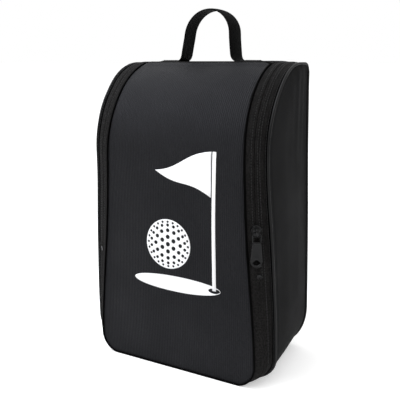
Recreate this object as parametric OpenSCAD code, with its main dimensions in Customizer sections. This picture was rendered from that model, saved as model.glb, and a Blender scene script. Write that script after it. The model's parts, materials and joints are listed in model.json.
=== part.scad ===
// Golf shoe bag: an upright zipped bag whose front panel curves back over the roof.
// +Z is up, the front faces -Y, and the origin is on the floor under the middle of the bag.
// The modules draw it with the front plane at y = 0, and placed() centres it. Millimetres.

/* [Body] */
// Height of the bag without its handle
bag_h = 330; // [300:1:360]
// Depth from the front panel to the back panel
bag_d = 118; // [112:1:140]
// Width of the front panel at the roof
front_w_top = 154; // [140:1:166]
// Width of the front panel at the floor
front_w_bottom = 191; // [180:1:200]
// Height of the curve that turns the front panel into the roof
roof_rise = 97; // [85:1:105]
// Depth of that curve
roof_run = 92; // [86:1:98]
// Depth at which the front panel ends on the roof
flap_end_y = 74; // [66:1:74]

/* [Corners] */
// Radius of the front panel's bottom corners
front_corner_r = 15; // [10:1:22]
// Width of the rounding where a side panel turns under the bag
side_corner_w = 36; // [30:1:40]
// Height of that rounding at the front of the bag
side_corner_h_front = 32; // [28:1:36]
// Height of that rounding at the back of the bag
side_corner_h_back = 50; // [40:1:56]
// Rounding between the roof and the back panel
rear_r = 10; // [8:1:12]

/* [Zip band] */
// Width of the zip band between the front panel and a side panel
band_w = 24; // [20:1:28]
// Angle at which the band leaves the front plane, at the roof
slant_top = 13; // [8:1:18]
// The same angle at the floor
slant_bottom = 52; // [44:1:58]
// Height of the fold that the flap turns about
fold_z = 114; // [100:1:120]
// Share of the band's width at which the zip runs, counted from the front seam
track = 0.42; // [0.4:0.01:0.5]
// Width of the slit between the two tapes
slit_w = 1.6; // [1.4:0.1:2.0]
// Width of one row of zip coil
coil_w = 2.2; // [1.8:0.1:2.6]

/* [Fabric] */
// Thickness of the panels
panel_t = 1.2; // [0.8:0.1:1.6]
// Thickness of the zip tape
tape_t = 0.9; // [0.6:0.1:1.2]
// Radius of the piping cord
piping_r = 1.5; // [1.2:0.1:1.8]

/* [Print] */
// Thickness of the printed motif
print_t = 0.2; // [0.1:0.1:0.4]
// Offset of the print from the middle of the front
print_x = 14; // [-14:1:14]
// Distance of the printed flagstick from the middle of the print
stick_x = 34; // [20:1:44]
// Height of the printed flag's top
flag_top = 244; // [225:1:260]
// Radius of the printed ball
ball_r = 27; // [20:1:27]

/* [Handle] */
// Width of the handle webbing
webbing_w = 23; // [20:1:25]
// Thickness of the handle webbing
webbing_t = 1.6; // [1.2:0.1:2.0]
// Distance between the middles of the handle's feet
handle_span = 66; // [60:1:72]
// Offset of the handle from the middle of the roof
handle_x = -6; // [-8:1:8]
// Height of the handle above the roof
handle_rise = 58; // [50:1:66]
// Length of each end sewn down on the roof
foot_len = 26; // [20:1:30]
// Depth of the middle of the webbing
handle_y = 98; // [97:1:98]

/* [Slider] */
// Height of the slider's middle on the closed bag
slider_z = 169; // [160:1:180]
// Length of the slider
slider_len = 12; // [11:1:13]
// Width of the slider
slider_w = 10; // [9:1:11]
// Length of the pull tab
tab_len = 24; // [20:1:25]
// Width of the pull tab at its eye
tab_w = 10.5; // [9:0.5:12]

/* [Hidden] */

seam = piping_r + 0.3;                  // a sheet's edge stays this far from a piped seam
gap = 0.3;                              // clearance between neighbouring pieces
slit = slit_w / 2;
stop_w = 5;                             // a zip stop is a square plate
stop_t = 1.3;
cross_w = 3.5;                          // width of a tape where it crosses the roof
coil_t = 1.4;                           // thickness of a row of coil
front_h = bag_h - roof_rise;            // the front panel is upright up to here
end_angle = acos(1 - flap_end_y / roof_run);
cut_angle = acos(1 - (flap_end_y + seam + cross_w) / roof_run);
roof_drop = band_w * sin(slant_top);    // the side panel's top edge lies this far under the roof
floor_x = side_x(0) - side_corner_w;    // half the width of the flat bottom
band_floor_y = band_w;                  // the band's rear edge under the bag
stick_w = 4;                            // the printed flagstick, flag, ball and green
flag_len = 66;
flag_drop = 46;
ball_x = -18;
green_z = 100;
green_w = 104;
green_h = 17;
fabric = [0.13, 0.13, 0.14];
tape_black = [0.10, 0.10, 0.10];
cord_black = [0.05, 0.05, 0.05];
metal_black = [0.16, 0.16, 0.17];

// ---- outline of the bag ----

function mix(a, b, t) = a + (b - a) * t;
function half_w(z) = mix(front_w_bottom, front_w_top, z / bag_h) / 2;
function slant(z) = mix(slant_bottom, slant_top, z / bag_h);
function side_x(z) = half_w(z) + band_w * cos(slant(z));

// Profile of the front panel and the roof: point and inward normal in the YZ plane. b is the
// angle round the roof curve, and past 90 degrees it stands for millimetres along the flat roof.
function roof_y(b) = b <= 90 ? roof_run * (1 - cos(b)) : roof_run + (b - 90);
function roof_z(b) = b <= 90 ? front_h + roof_rise * sin(b) : bag_h;
function roof_n(b) = b <= 90 ? unit([0, roof_rise * cos(b), -roof_run * sin(b)]) : [0, 0, -1];
function unit(v) = v / norm(v);

// Point on the upright part of the right-hand band; w runs from 0 at the front seam to 1 at the
// side seam.
function band_side(z, w) =
    [half_w(z) + w * band_w * cos(slant(z)), w * band_w * sin(slant(z)), z];

// Point on the right-hand band where it follows the roof curve.
function band_roof(b, w) = let (z = roof_z(b), s = slant(z))
    [half_w(z), roof_y(b), z] + w * band_w * ([cos(s), 0, 0] + sin(s) * roof_n(b));

// Point on the band at the bottom corner; a runs from -90 on the floor to 0 on the side.
function band_corner(a, w) = let (
        zf = front_corner_r * (1 + sin(a)), zs = side_corner_h_front * (1 + sin(a)),
        f = [half_w(zf) - front_corner_r * (1 - cos(a)), 0, zf],
        s = [side_x(zs) - side_corner_w * (1 - cos(a)),
             mix(band_floor_y, band_w * sin(slant(zs)), (a + 90) / 90), zs])
    mix(f, s, w);

// The upright stretch starts higher on the side seam than on the front seam.
function band_rise(t, w, top) = let (
        zf = mix(front_corner_r, top, t), zs = mix(side_corner_h_front, top, t))
    mix(band_side(zf, 0), band_side(zs, 1), w);

// Rows of band parameters, from the middle of the floor up to the fold, and from there on.
function lower_row(w) = concat(
    [[0, band_floor_y * w, 0]],
    [for (a = [-90:15:0]) band_corner(a, w)],
    [for (t = [0.25:0.25:1]) band_rise(t, w, fold_z - gap)]);
function upper_row(w, last) = concat(
    [for (t = [0:0.25:1]) band_side(mix(fold_z + gap, front_h, t), w)],
    [for (b = [7.5:7.5:last - 1]) band_roof(b, w)],
    [band_roof(last, w)]);
function body_row(w) = concat(
    upper_row(w, 90), [band_roof(90 + bag_d - rear_r - roof_run - gap, w)]);

function mirror_x(p) = [-p[0], p[1], p[2]];
function reversed(list) = [for (i = [len(list) - 1:-1:0]) list[i]];
function mirrored(row) = [for (p = row) mirror_x(p)];
function whole(row) = concat(reversed(mirrored(row)), [for (i = [1:len(row) - 1]) row[i]]);

// ---- sheets and cords ----

function step_at(row, i) = row[min(i + 1, len(row) - 1)] - row[max(i - 1, 0)];
function grid_normal(g, i, j) = let (
        along = g[min(i + 1, len(g) - 1)][j] - g[max(i - 1, 0)][j],
        across = step_at(g[i], j))
    unit(cross(across, along));

// Closed solid between a grid of points and the same grid moved in along its normals, from depth
// in to depth in + t.
module sheet(g, t, in = 0) {
    n = len(g);
    m = len(g[0]);
    outer = [for (i = [0:n - 1]) for (j = [0:m - 1]) g[i][j] + in * grid_normal(g, i, j)];
    inner = [for (i = [0:n - 1]) for (j = [0:m - 1]) g[i][j] + (in + t) * grid_normal(g, i, j)];
    k = n * m;
    function at(i, j) = i * m + j;
    quads = concat(
        [for (i = [0:n - 2]) for (j = [0:m - 2]) [at(i, j), at(i, j + 1), at(i + 1, j + 1), at(i + 1, j)]],
        [for (i = [0:n - 2]) for (j = [0:m - 2])
            [k + at(i, j), k + at(i + 1, j), k + at(i + 1, j + 1), k + at(i, j + 1)]],
        [for (i = [0:n - 2]) for (e = [0, m - 1])
            e == 0 ? [at(i, e), at(i + 1, e), k + at(i + 1, e), k + at(i, e)]
                   : [at(i + 1, e), at(i, e), k + at(i, e), k + at(i + 1, e)]],
        [for (j = [0:m - 2]) for (e = [0, n - 1])
            e == 0 ? [at(e, j + 1), at(e, j), k + at(e, j), k + at(e, j + 1)]
                   : [at(e, j), at(e, j + 1), k + at(e, j + 1), k + at(e, j)]]);
    polyhedron(concat(outer, inner),
               [for (q = quads) for (f = [[q[0], q[1], q[2]], [q[0], q[2], q[3]]]) f]);
}

// Round cord along a path, with one ring for each point.
module cord(path, r, sides = 8) {
    n = len(path);
    ring_points = [for (i = [0:n - 1]) let (
            d = unit(step_at(path, i)),
            side = unit(cross(d, abs(d[1]) < 0.9 ? [0, 1, 0] : [1, 0, 0])),
            up = cross(side, d))
        for (k = [0:sides - 1]) path[i] + r * (side * cos(k * 360 / sides) + up * sin(k * 360 / sides))];
    function at(i, k) = i * sides + k % sides;
    polyhedron(ring_points, concat(
        [for (i = [0:n - 2]) for (k = [0:sides - 1]) for (f = [
            [at(i, k), at(i, k + 1), at(i + 1, k + 1)], [at(i, k), at(i + 1, k + 1), at(i + 1, k)]]) f],
        [[for (k = [sides - 1:-1:0]) at(0, k)], [for (k = [0:sides - 1]) at(n - 1, k)]]));
}

// Band sheet between two positions across it, given as distances in from its two seams.
function across(row_at, from, to) = let (a = row_at(from / band_w), b = row_at(to / band_w))
    [for (i = [0:len(a) - 1]) [a[i], b[i]]];

module right_or_left(side) mirror([side < 0 ? 1 : 0, 0, 0]) children();

// ---- front ----

module front_panel_lower() color(fabric) {
    r = front_corner_r - seam;
    low = seam + piping_r;
    right_edge = concat(
        [for (a = [-90:15:0]) let (z = low + r * (1 + sin(a))) [half_w(z) - front_corner_r + r * cos(a), z]],
        [[half_w(fold_z) - seam, fold_z - gap]]);
    rotate([90, 0, 0])
        translate([0, 0, -panel_t])
            linear_extrude(panel_t)
                polygon(concat(right_edge, [for (p = reversed(right_edge)) [-p[0], p[1]]]));
}

module flap_panel() color(fabric) {
    columns = [-1, -0.6, -0.2, 0.2, 0.6, 1];
    last = acos(1 - (flap_end_y - seam) / roof_run);
    rows = concat(
        [for (t = [0:0.25:1]) let (z = mix(fold_z + gap, front_h, t)) [0, z]],
        [for (b = [6:6:last]) [roof_y(b), roof_z(b)]],
        [[roof_y(last), roof_z(last)]]);
    sheet([for (p = rows) [for (c = columns) [-c * (half_w(p[1]) - seam), p[0], p[1]]]], panel_t);
}

// A plain golf motif: a ball beside a flag, which stands on a green below the fold.
module front_print() printed() {
    low = fold_z + 2;
    translate([stick_x, low]) square([stick_w, flag_top - low]);
    polygon([[stick_x, flag_top], [stick_x, flag_top - flag_drop],
             [stick_x - flag_len, flag_top - flag_drop / 2]]);
    translate([ball_x, low + ball_r]) circle(r = ball_r, $fn = 96);
}

module front_print_lower() printed() {
    polygon([for (a = [0:5:355]) [ball_x / 2 + green_w / 2 * cos(a), green_z + green_h / 2 * sin(a)]]);
    translate([stick_x, green_z]) square([stick_w, fold_z - 2 - green_z]);
}

// Raises a flat outline on the front panel.
module printed() color("white")
    translate([print_x, -gap, 0])
        rotate([90, 0, 0])
            linear_extrude(print_t)
                children();

// ---- zip band ----

module gusset_lower() color(tape_black) {
    inner = whole(lower_row(seam / band_w));
    outer = whole(lower_row(1 - seam / band_w));
    sheet([for (i = [0:len(inner) - 1]) [outer[i], inner[i]]], tape_t);
}

module zip_tape_flap(side) color(tape_black) {
    a = upper_row(seam / band_w, cut_angle);
    b = upper_row(track - slit / band_w, cut_angle);
    right_or_left(side)
        sheet([for (i = [0:len(a) - 1]) [b[i], a[i]]], tape_t);
}

module zip_tape_body(side) color(tape_black) {
    a = body_row(track + slit / band_w);
    b = body_row(1 - seam / band_w);
    right_or_left(side)
        sheet([for (i = [0:len(a) - 1]) [b[i], a[i]]], tape_t);
}

// The stretch of tape that crosses the roof behind the front panel.
module zip_tape_flap_top() color(tape_black)
    cross_strip(flap_end_y + seam, flap_end_y + seam + cross_w, half_w(bag_h));

module zip_tape_body_top() color(tape_black)
    cross_strip(flap_end_y + seam + cross_w + slit_w, flap_end_y + seam + 2 * cross_w, half_w(bag_h));

module cross_strip(y0, y1, half, depth = 0, t = tape_t) {
    b0 = acos(1 - y0 / roof_run);
    b1 = acos(1 - y1 / roof_run);
    sheet([for (b = [b0, b1]) [for (x = [half, -half]) [x, roof_y(b), roof_z(b)]]], t, depth);
}

module zip_coil(first, last_row, y0) color(cord_black) {
    under = tape_t + 0.2;
    for (side = [-1, 1])
        right_or_left(side)
            sheet([for (i = [0:len(first) - 1]) [last_row[i], first[i]]], coil_t, under);
    cross_strip(y0, y0 + coil_w, half_w(bag_h), under, coil_t);
}

module zip_coil_flap()
    zip_coil(upper_row(track - (slit + coil_w) / band_w, end_angle), upper_row(track - slit / band_w, end_angle),
             flap_end_y + seam + cross_w - coil_w);

module zip_coil_body()
    zip_coil(upper_row(track + slit / band_w, end_angle), upper_row(track + (slit + coil_w) / band_w, end_angle),
             flap_end_y + seam + cross_w + slit_w);

module zip_stop(side) color(metal_black) right_or_left(side)
    on_band(fold_z + 8)
        translate([-stop_w / 2, -gap - stop_t, -stop_w / 2])
            cube([stop_w, stop_t, stop_w]);

// ---- piping ----

function seam_lower(w) = [for (p = lower_row(w)) [p[0], p[1], max(p[2], piping_r)]];

module piping_front_lower() color(cord_black) cord(whole(seam_lower(0)), piping_r);

module piping_side() color(cord_black)
    cord(whole(concat(seam_lower(1), body_row(1))), piping_r);

module piping_flap() color(cord_black) {
    up = upper_row(0, end_angle);
    cord(whole(concat([[0, flap_end_y, roof_z(end_angle)]], reversed(up))), piping_r);
}

function back_edge(inset, low) = concat(
    [for (a = [-90:15:0]) let (z = side_corner_h_back * (1 + sin(a)))
        [side_x(z) - side_corner_w * (1 - cos(a)) - inset * cos(a), bag_d, max(z - inset * sin(a), low)]],
    [for (t = [0.2:0.2:1]) let (z = mix(side_corner_h_back, bag_h - rear_r, t)) [side_x(z) - inset, bag_d, z]]);

module piping_back() color(cord_black)
    cord(whole(concat([[0, bag_d, piping_r]], back_edge(0, piping_r))), piping_r);

// ---- sides, back, bottom and roof ----

function seam_run() = concat(
    [for (a = [-90:15:0]) [band_corner(a, 1), [0, 1, 0]]],
    [for (t = [0.125:0.125:1]) [band_rise(t, 1, front_h), [0, 1, 0]]],
    [for (b = [7.5:7.5:90]) [band_roof(b, 1), roof_n(b)]]);

// How far back the side panel reaches at height z, round the rear corner of the roof.
function back_y(z) = z <= bag_h - rear_r ? bag_d - seam
    : bag_d - seam - rear_r * (1 - sqrt(max(0, 1 - pow((z - bag_h + rear_r) / (rear_r - roof_drop), 2))));

module side_panel(side) color(fabric) {
    run = seam_run();
    corner_n = 7;
    rows = [for (i = [0:len(run) - 1]) let (
            f = run[i][0] + seam * run[i][1],
            a = -90 + 15 * i,
            zb = side_corner_h_back * (1 + sin(a)),
            z_side = i < corner_n + 8
                ? mix(side_corner_h_back, front_h, (i - corner_n + 1) / 8) : f[2],
            b = i < corner_n ? [side_x(zb) - side_corner_w * (1 - cos(a)), bag_d - seam, zb]
                             : [side_x(z_side), back_y(z_side), z_side])
        [b, mix(f, b, 0.5), f]];
    right_or_left(side) sheet(rows, panel_t);
}

module back_panel() color(fabric) {
    lower = back_edge(seam, seam + piping_r);
    share = half_w(bag_h) / side_x(bag_h);
    spread = [1, share, 0, -share, -1];
    roof_edge = side_x(bag_h - rear_r) - seam;
    sheet(concat(
        [for (p = lower) [for (s = spread) [-s * p[0], p[1], p[2]]]],
        [for (c = [22.5:22.5:90]) [for (s = spread)
            [-s * roof_edge, bag_d - rear_r * (1 - cos(c)),
             bag_h - rear_r + (rear_r - (abs(s) == 1 ? roof_drop : 0)) * sin(c)]]]), panel_t);
}

module bottom_panel() color(fabric)
    translate([-floor_x + gap, band_floor_y + seam, 0])
        cube([2 * (floor_x - gap), bag_d - band_floor_y - 2 * seam, panel_t]);

module base_board() color([0.2, 0.2, 0.2])
    translate([0, 0, panel_t + 0.4])
        linear_extrude(2)
            translate([-floor_x + 3, band_floor_y + seam + 1])
                square([2 * (floor_x - 3), bag_d - band_floor_y - 2 * seam - 2]);

module roof_rear_panel() color(fabric) {
    y0 = flap_end_y + seam + 2 * cross_w + 0.5;
    s = slant(bag_h);
    half = track * band_w - slit;
    columns = [
        [half_w(bag_h) + half * cos(s), -half * sin(s)], [half_w(bag_h), 0],
        [-half_w(bag_h), 0], [-half_w(bag_h) - half * cos(s), -half * sin(s)]];
    ys = [y0, roof_run, bag_d - rear_r - gap];
    sheet([for (y = ys) let (b = y < roof_run ? acos(1 - y / roof_run) : 90)
        [for (c = columns) [c[0], y, roof_z(b) + c[1]]]], panel_t);
}

// ---- handle ----

hinge_z = bag_h + webbing_w / 2 + gap;
leg_x = handle_span / 2;
arch_r = leg_x - 5;
thread_w = 0.8;
stitch_inset = 3;                       // from the webbing's edge to its box stitch
box_x = foot_len - 2 * stitch_inset;
box_y = webbing_w - 2 * stitch_inset;
function arch_line() = concat(
    [[leg_x, bag_h + gap], [leg_x - 2, bag_h + 12]],
    [for (a = [0:10:90]) [arch_r * cos(a), bag_h + handle_rise - webbing_t / 2 - arch_r * (1 - sin(a))]]);

module on_roof() translate([handle_x, 0, 0]) children();

module handle_webbing() color(cord_black) {
    half = [for (p = arch_line()) [p[0], 0, p[1]]];
    line = whole(reversed(half));
    normals = [for (i = [0:len(line) - 1]) let (d = unit(step_at(line, i))) [-d[2], d[0]]];
    points = function (s) [for (i = [0:len(line) - 1])
        [line[i][0], line[i][2]] + s * webbing_t / 2 * normals[i]];
    intersection() {
        translate([0, handle_y + webbing_w / 2, 0])
            rotate([90, 0, 0])
                linear_extrude(webbing_w)
                    polygon(concat(points(1), reversed(points(-1))));
        union() {
            translate([-handle_span, handle_y, hinge_z])
                rotate([0, 90, 0])
                    cylinder(r = webbing_w / 2, h = 2 * handle_span, $fn = 64);
            translate([-handle_span, handle_y - webbing_w / 2, hinge_z])
                cube([2 * handle_span, webbing_w, handle_rise]);
        }
    }
}

module handle_foot(side) color(cord_black) right_or_left(side)
    translate([leg_x + webbing_t, handle_y - webbing_w / 2, bag_h + 0.1])
        cube([foot_len, webbing_w, webbing_t]);

// Box stitches that hold the two feet down.
module foot_stitching() color([0.2, 0.2, 0.2])
    for (side = [-1, 1])
        right_or_left(side)
            translate([leg_x + webbing_t + stitch_inset, handle_y - webbing_w / 2 + stitch_inset,
                       bag_h + webbing_t + 0.2])
                linear_extrude(thread_w / 2)
                    difference() {
                        square([box_x, box_y]);
                        translate([thread_w, thread_w]) square([box_x - 2 * thread_w, box_y - 2 * thread_w]);
                    }

// ---- slider ----

track_low = band_side(fold_z, track);
track_high = band_side(front_h, track);
track_dir = unit(track_high - track_low);
slider_at = mix(track_low, track_high, (slider_z - fold_z) / (front_h - fold_z));
slider_turn = slant(slider_z);
slider_lean = asin(track_dir * [cos(slider_turn), sin(slider_turn), 0]);

// Places children on the right-hand zip at height z: X across the band, -Y out.
module on_band(z) {
    translate(band_side(z, track))
        rotate([0, 0, slant(z)])
            children();
}

wire_r = 0.6;                           // wire of the link that carries the tab
plate_out = 0.8;                        // from the tape out to the outer plate
plate_t = 1.3;
plate_round = 1.6;
inner_in = 4.2;                         // from the tape in to the inner plate
inner_t = 1;
post_w = 0.7;
post_len = 3.6;
bridge_w = 2.2;
bridge_len = 8.4;
bridge_rise = 2.6;
pin_hole_r = 1.1;
pin_out = plate_out + plate_t + wire_r + 0.4;
pin_drop = 3;                           // the link's pivot lies this far under the slider's middle
link_len = 8.5;
link_w = 6.6;
tab_t = 1.8;
tab_round = 3.5;
tab_neck = 4.4;
tab_waist = 7.6;
barrel_r = 1.5;                         // rolled top of the tab, round the link's lower bar
barrel_w = 4.8;
eye_r = 1.9;
eye_half = 1.3;

module slider_body() color(metal_black)
    translate(slider_at)
        rotate([0, 0, slider_turn])
            rotate([0, slider_lean, 0]) {
                translate([0, -plate_out, 0])
                    rotate([90, 0, 0])
                        linear_extrude(plate_t)
                            slider_outline();
                slider_bridge();
                // post between the tapes, and inner plate behind the flap's tape
                translate([-post_w / 2, -plate_out - 0.2, 1])
                    cube([post_w, plate_out + inner_in + inner_t - 0.4, post_len]);
                translate([-slider_w / 2 + 0.6, inner_in, -slider_len / 2 + 1])
                    cube([slider_w / 2 - 0.25, inner_t, slider_len - 2]);
            }

// Bridge that the pull hangs from.
module slider_bridge()
    difference() {
        translate([-bridge_w / 2, -plate_out - plate_t - bridge_rise, -pin_drop - 2.4])
            cube([bridge_w, bridge_rise + 0.2, bridge_len]);
        translate([-bridge_w, -pin_out, -pin_drop])
            rotate([0, 90, 0])
                cylinder(r = pin_hole_r, h = 2 * bridge_w, $fn = 32);
    }

module slider_outline() {
    top = slider_w / 2 - plate_round;
    foot = top - 1;
    hull() {
        for (x = [-1, 1])
            translate([x * top, slider_len / 2 - plate_round]) circle(r = plate_round, $fn = 32);
        for (x = [-1, 1])
            translate([x * foot, plate_round - slider_len / 2]) circle(r = plate_round, $fn = 32);
    }
}

// Places children at the pull's pivot: X along the pivot, -Y out, -Z hanging down.
module at_pivot()
    translate(slider_at)
        rotate([0, 0, slider_turn])
            translate([-pin_drop * sin(slider_lean), -pin_out, -pin_drop * cos(slider_lean)])
                children();

module rod(from, to, r) {
    d = to - from;
    translate(from)
        rotate([0, acos(d[2] / norm(d)), atan2(d[1], d[0])])
            cylinder(r = r, h = norm(d), $fn = 24);
}

// Rectangular wire link between the slider's bridge and the tab.
module pull_ring() color(metal_black) at_pivot() {
    x = link_w / 2;
    for (s = [-1, 1])
        rod([s * x, 0, 0], [s * x, 0, -link_len], wire_r);
    for (z = [0, -link_len]) {
        rod([-x, 0, z], [x, 0, z], wire_r);
        for (s = [-1, 1])
            translate([s * x, 0, z]) sphere(r = wire_r, $fn = 24);
    }
}

module pull_tab() color(metal_black) at_pivot()
    translate([0, tab_t / 2, -link_len])
        rotate([90, 0, 0])
            difference() {
                union() {
                    linear_extrude(tab_t) tab_outline();
                    tab_barrel(barrel_r, barrel_w);
                }
                tab_barrel(wire_r + 0.08, barrel_w + 1);
                translate([0, -tab_len + 5, -1])
                    linear_extrude(2 * tab_t)
                        hull()
                            for (x = [-eye_half, eye_half])
                                translate([x, 0]) circle(r = eye_r, $fn = 32);
            }

module tab_barrel(r, w)
    translate([-w / 2, 0, tab_t / 2])
        rotate([0, 90, 0])
            cylinder(r = r, h = w, $fn = 32);

module tab_outline()
    hull() {
        translate([-tab_neck / 2, -1.2]) square([tab_neck, 1.2]);
        translate([-tab_waist / 2, -tab_len * 0.6]) square([tab_waist, 4]);
        for (x = [-1, 1])
            translate([x * (tab_w / 2 - tab_round), -tab_len + tab_round]) circle(r = tab_round, $fn = 32);
    }

// Moves the bag so that the origin lies under its middle.
module placed() translate([0, -bag_d / 2, 0]) children();

placed() front_panel_lower();
placed() gusset_lower();
placed() piping_front_lower();
placed() side_panel(-1);  // side_panel_left
placed() side_panel(1);  // side_panel_right
placed() piping_side();
placed() back_panel();
placed() piping_back();
placed() bottom_panel();
placed() base_board();
placed() roof_rear_panel();
placed() zip_tape_body(-1);  // zip_tape_body_left
placed() zip_tape_body(1);  // zip_tape_body_right
placed() zip_tape_body_top();
placed() zip_coil_body();
placed() on_roof() handle_foot(-1);  // handle_foot_left
placed() on_roof() handle_foot(1);  // handle_foot_right
placed() on_roof() foot_stitching();
placed() flap_panel();
placed() piping_flap();
placed() zip_tape_flap(-1);  // zip_tape_flap_left
placed() zip_tape_flap(1);  // zip_tape_flap_right
placed() zip_tape_flap_top();
placed() zip_coil_flap();
placed() zip_stop(-1);  // zip_stop_left
placed() zip_stop(1);  // zip_stop_right
placed() front_print();
placed() front_print_lower();
placed() slider_body();
placed() pull_ring();
placed() pull_tab();
placed() on_roof() handle_webbing();
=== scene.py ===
"""Golf shoe bag: fabric panels, piping, zip, handle and print, built round its packed frame.

+Z is up and the front faces -Y, in metres. Every surface is a function of two parameters on a grid.
"""
import json
import math

import bmesh
import bpy
import numpy as np
from bpy.props import FloatProperty, FloatVectorProperty, IntProperty, PointerProperty
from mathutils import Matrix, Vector


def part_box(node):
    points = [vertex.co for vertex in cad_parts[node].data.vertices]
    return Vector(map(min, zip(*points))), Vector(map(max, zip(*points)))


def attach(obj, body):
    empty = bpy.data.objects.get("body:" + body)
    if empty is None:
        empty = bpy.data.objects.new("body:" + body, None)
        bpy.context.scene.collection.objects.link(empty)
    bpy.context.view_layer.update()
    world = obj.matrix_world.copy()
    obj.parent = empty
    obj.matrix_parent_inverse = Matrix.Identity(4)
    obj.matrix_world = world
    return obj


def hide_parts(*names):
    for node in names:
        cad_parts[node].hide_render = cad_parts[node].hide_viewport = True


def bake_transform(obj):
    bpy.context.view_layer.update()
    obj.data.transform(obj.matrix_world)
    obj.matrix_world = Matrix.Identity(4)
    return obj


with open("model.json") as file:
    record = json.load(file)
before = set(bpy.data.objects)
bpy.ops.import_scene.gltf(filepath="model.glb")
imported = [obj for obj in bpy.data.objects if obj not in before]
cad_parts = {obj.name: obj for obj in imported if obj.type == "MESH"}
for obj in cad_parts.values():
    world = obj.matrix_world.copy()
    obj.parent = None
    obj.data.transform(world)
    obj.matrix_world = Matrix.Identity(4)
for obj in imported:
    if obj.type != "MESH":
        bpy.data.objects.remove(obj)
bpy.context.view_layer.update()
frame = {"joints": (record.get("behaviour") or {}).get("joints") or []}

bl_info = {
    "name": "Golf Shoe Bag",
    "version": (1, 0, 0),
    "blender": (4, 5, 0),
    "location": "3D View > Sidebar > Shoe Bag",
    "description": "Builds the panels, zip, handle and print of a golf shoe bag",
    "category": "Add Mesh",
}

FRONT_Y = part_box("flap_panel")[0].y
BACK_Y = -FRONT_Y
ROOF_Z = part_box("roof_rear_panel")[1].z
JOINTS = {j["name"]: j for j in frame["joints"]}
FOLD = JOINTS["flap_open"]["pos_m"]
PIVOT = JOINTS["pull_swing"]["pos_m"]
HINGE = JOINTS["handle_fold"]["pos_m"]
MIDDLE = np.array([0.0, 0.0, ROOF_Z / 2])
SEAM_INSET = 0.0008  # how far a panel's edge stays inside its seam
COIL_GAP = 0.0014  # from the zip's line to the middle of each coil
COIL_SIDES = 5


# ---- sizes and colours that a user would change ----

def length(name, description, default, low=0.0, high=1.0):
    return FloatProperty(name=name, description=description, default=default, min=low, max=high,
                         subtype="DISTANCE", unit="LENGTH", precision=4)


def angle(name, description, default):
    return FloatProperty(name=name, description=description, default=math.radians(default),
                         subtype="ANGLE", unit="ROTATION")


def colour(name, description, default):
    return FloatVectorProperty(name=name, description=description, default=default, size=3,
                               subtype="COLOR", min=0.0, max=1.0)


def share(name, description, default, high=1.0):
    return FloatProperty(name=name, description=description, default=default, min=0.0, max=high)


class BagShape(bpy.types.PropertyGroup):
    """Outline of the bag."""
    height: length("Height", "Height of the roof above the floor", ROOF_Z)
    depth: length("Depth", "Depth from the front panel to the back panel", BACK_Y - FRONT_Y)
    front_top: length("Front width, top", "Width of the front panel at the roof", 0.154)
    front_bottom: length("Front width, bottom", "Width of the front panel at the floor", 0.191)
    roof_rise: length("Roof rise", "Height of the curve from the front into the roof", 0.097)
    roof_run: length("Roof run", "Depth of that curve", 0.092)
    flap_end: length("Flap end", "Depth at which the front panel ends on the roof", 0.074)
    front_corner: length("Front corner", "Radius of the front panel's bottom corners", 0.024)
    side_corner_w: length("Side corner width", "Width of the rounding under a side panel", 0.036)
    side_corner_front: length("Side corner, front", "Height of that rounding at the front", 0.032)
    side_corner_back: length("Side corner, back", "Height of that rounding at the back", 0.050)
    rear_round: length("Rear rounding", "Rounding between the roof and the back panel", 0.010)
    band: length("Band width", "Width of the zip band", 0.024)
    slant_top: angle("Slant, top", "Angle at which the band leaves the front, at the roof", 13)
    slant_bottom: angle("Slant, bottom", "The same angle at the floor", 52)
    slant_level: angle("Levelling", "How much flatter the band lies where it meets the roof", 7)
    fold: length("Fold height", "Height of the fold that the flap turns about", FOLD[2])
    panel: length("Panel thickness", "Thickness of the panels", 0.0012)
    tape: length("Tape thickness", "Thickness of the zip tape", 0.0009)


class SoftShape(bpy.types.PropertyGroup):
    """How far the fabric bulges, tucks in and creases."""
    front_crown: length("Front crown", "How far the front panel stands out in its middle", 0.0022)
    side_crown: length("Side crown", "How far a side panel stands out in its middle", 0.0026)
    back_crown: length("Back crown", "How far the back panel stands out in its middle", 0.0022)
    ripple: length("Ripples", "Height of the soft waves in the panels", 0.0007)
    crease: length("Creases", "Depth of the folds at the rear of a side panel", 0.00035)
    tuck: length("Seam tuck", "How far a panel's edge dips into its seam", 0.0012)
    groove: length("Band groove", "How far the band's edges dip beside the piping", 0.0028)
    end_roll: length("End roll", "Height of the roll across the roof where the front panel ends", 0.0018)
    pinch: length("Pinch", "How far the sides draw in at the slider's height", 0.0026)
    belly: length("Belly", "How far the sides stand out near the floor", 0.0020)
    sag: length("Roof sag", "How far the roof sinks under the handle's feet", 0.0014)
    welt: length("Welt", "Height of the roll along a side panel's front edge", 0.0011)
    welt_w: length("Welt width", "Half width of that roll", 0.0016)


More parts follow.
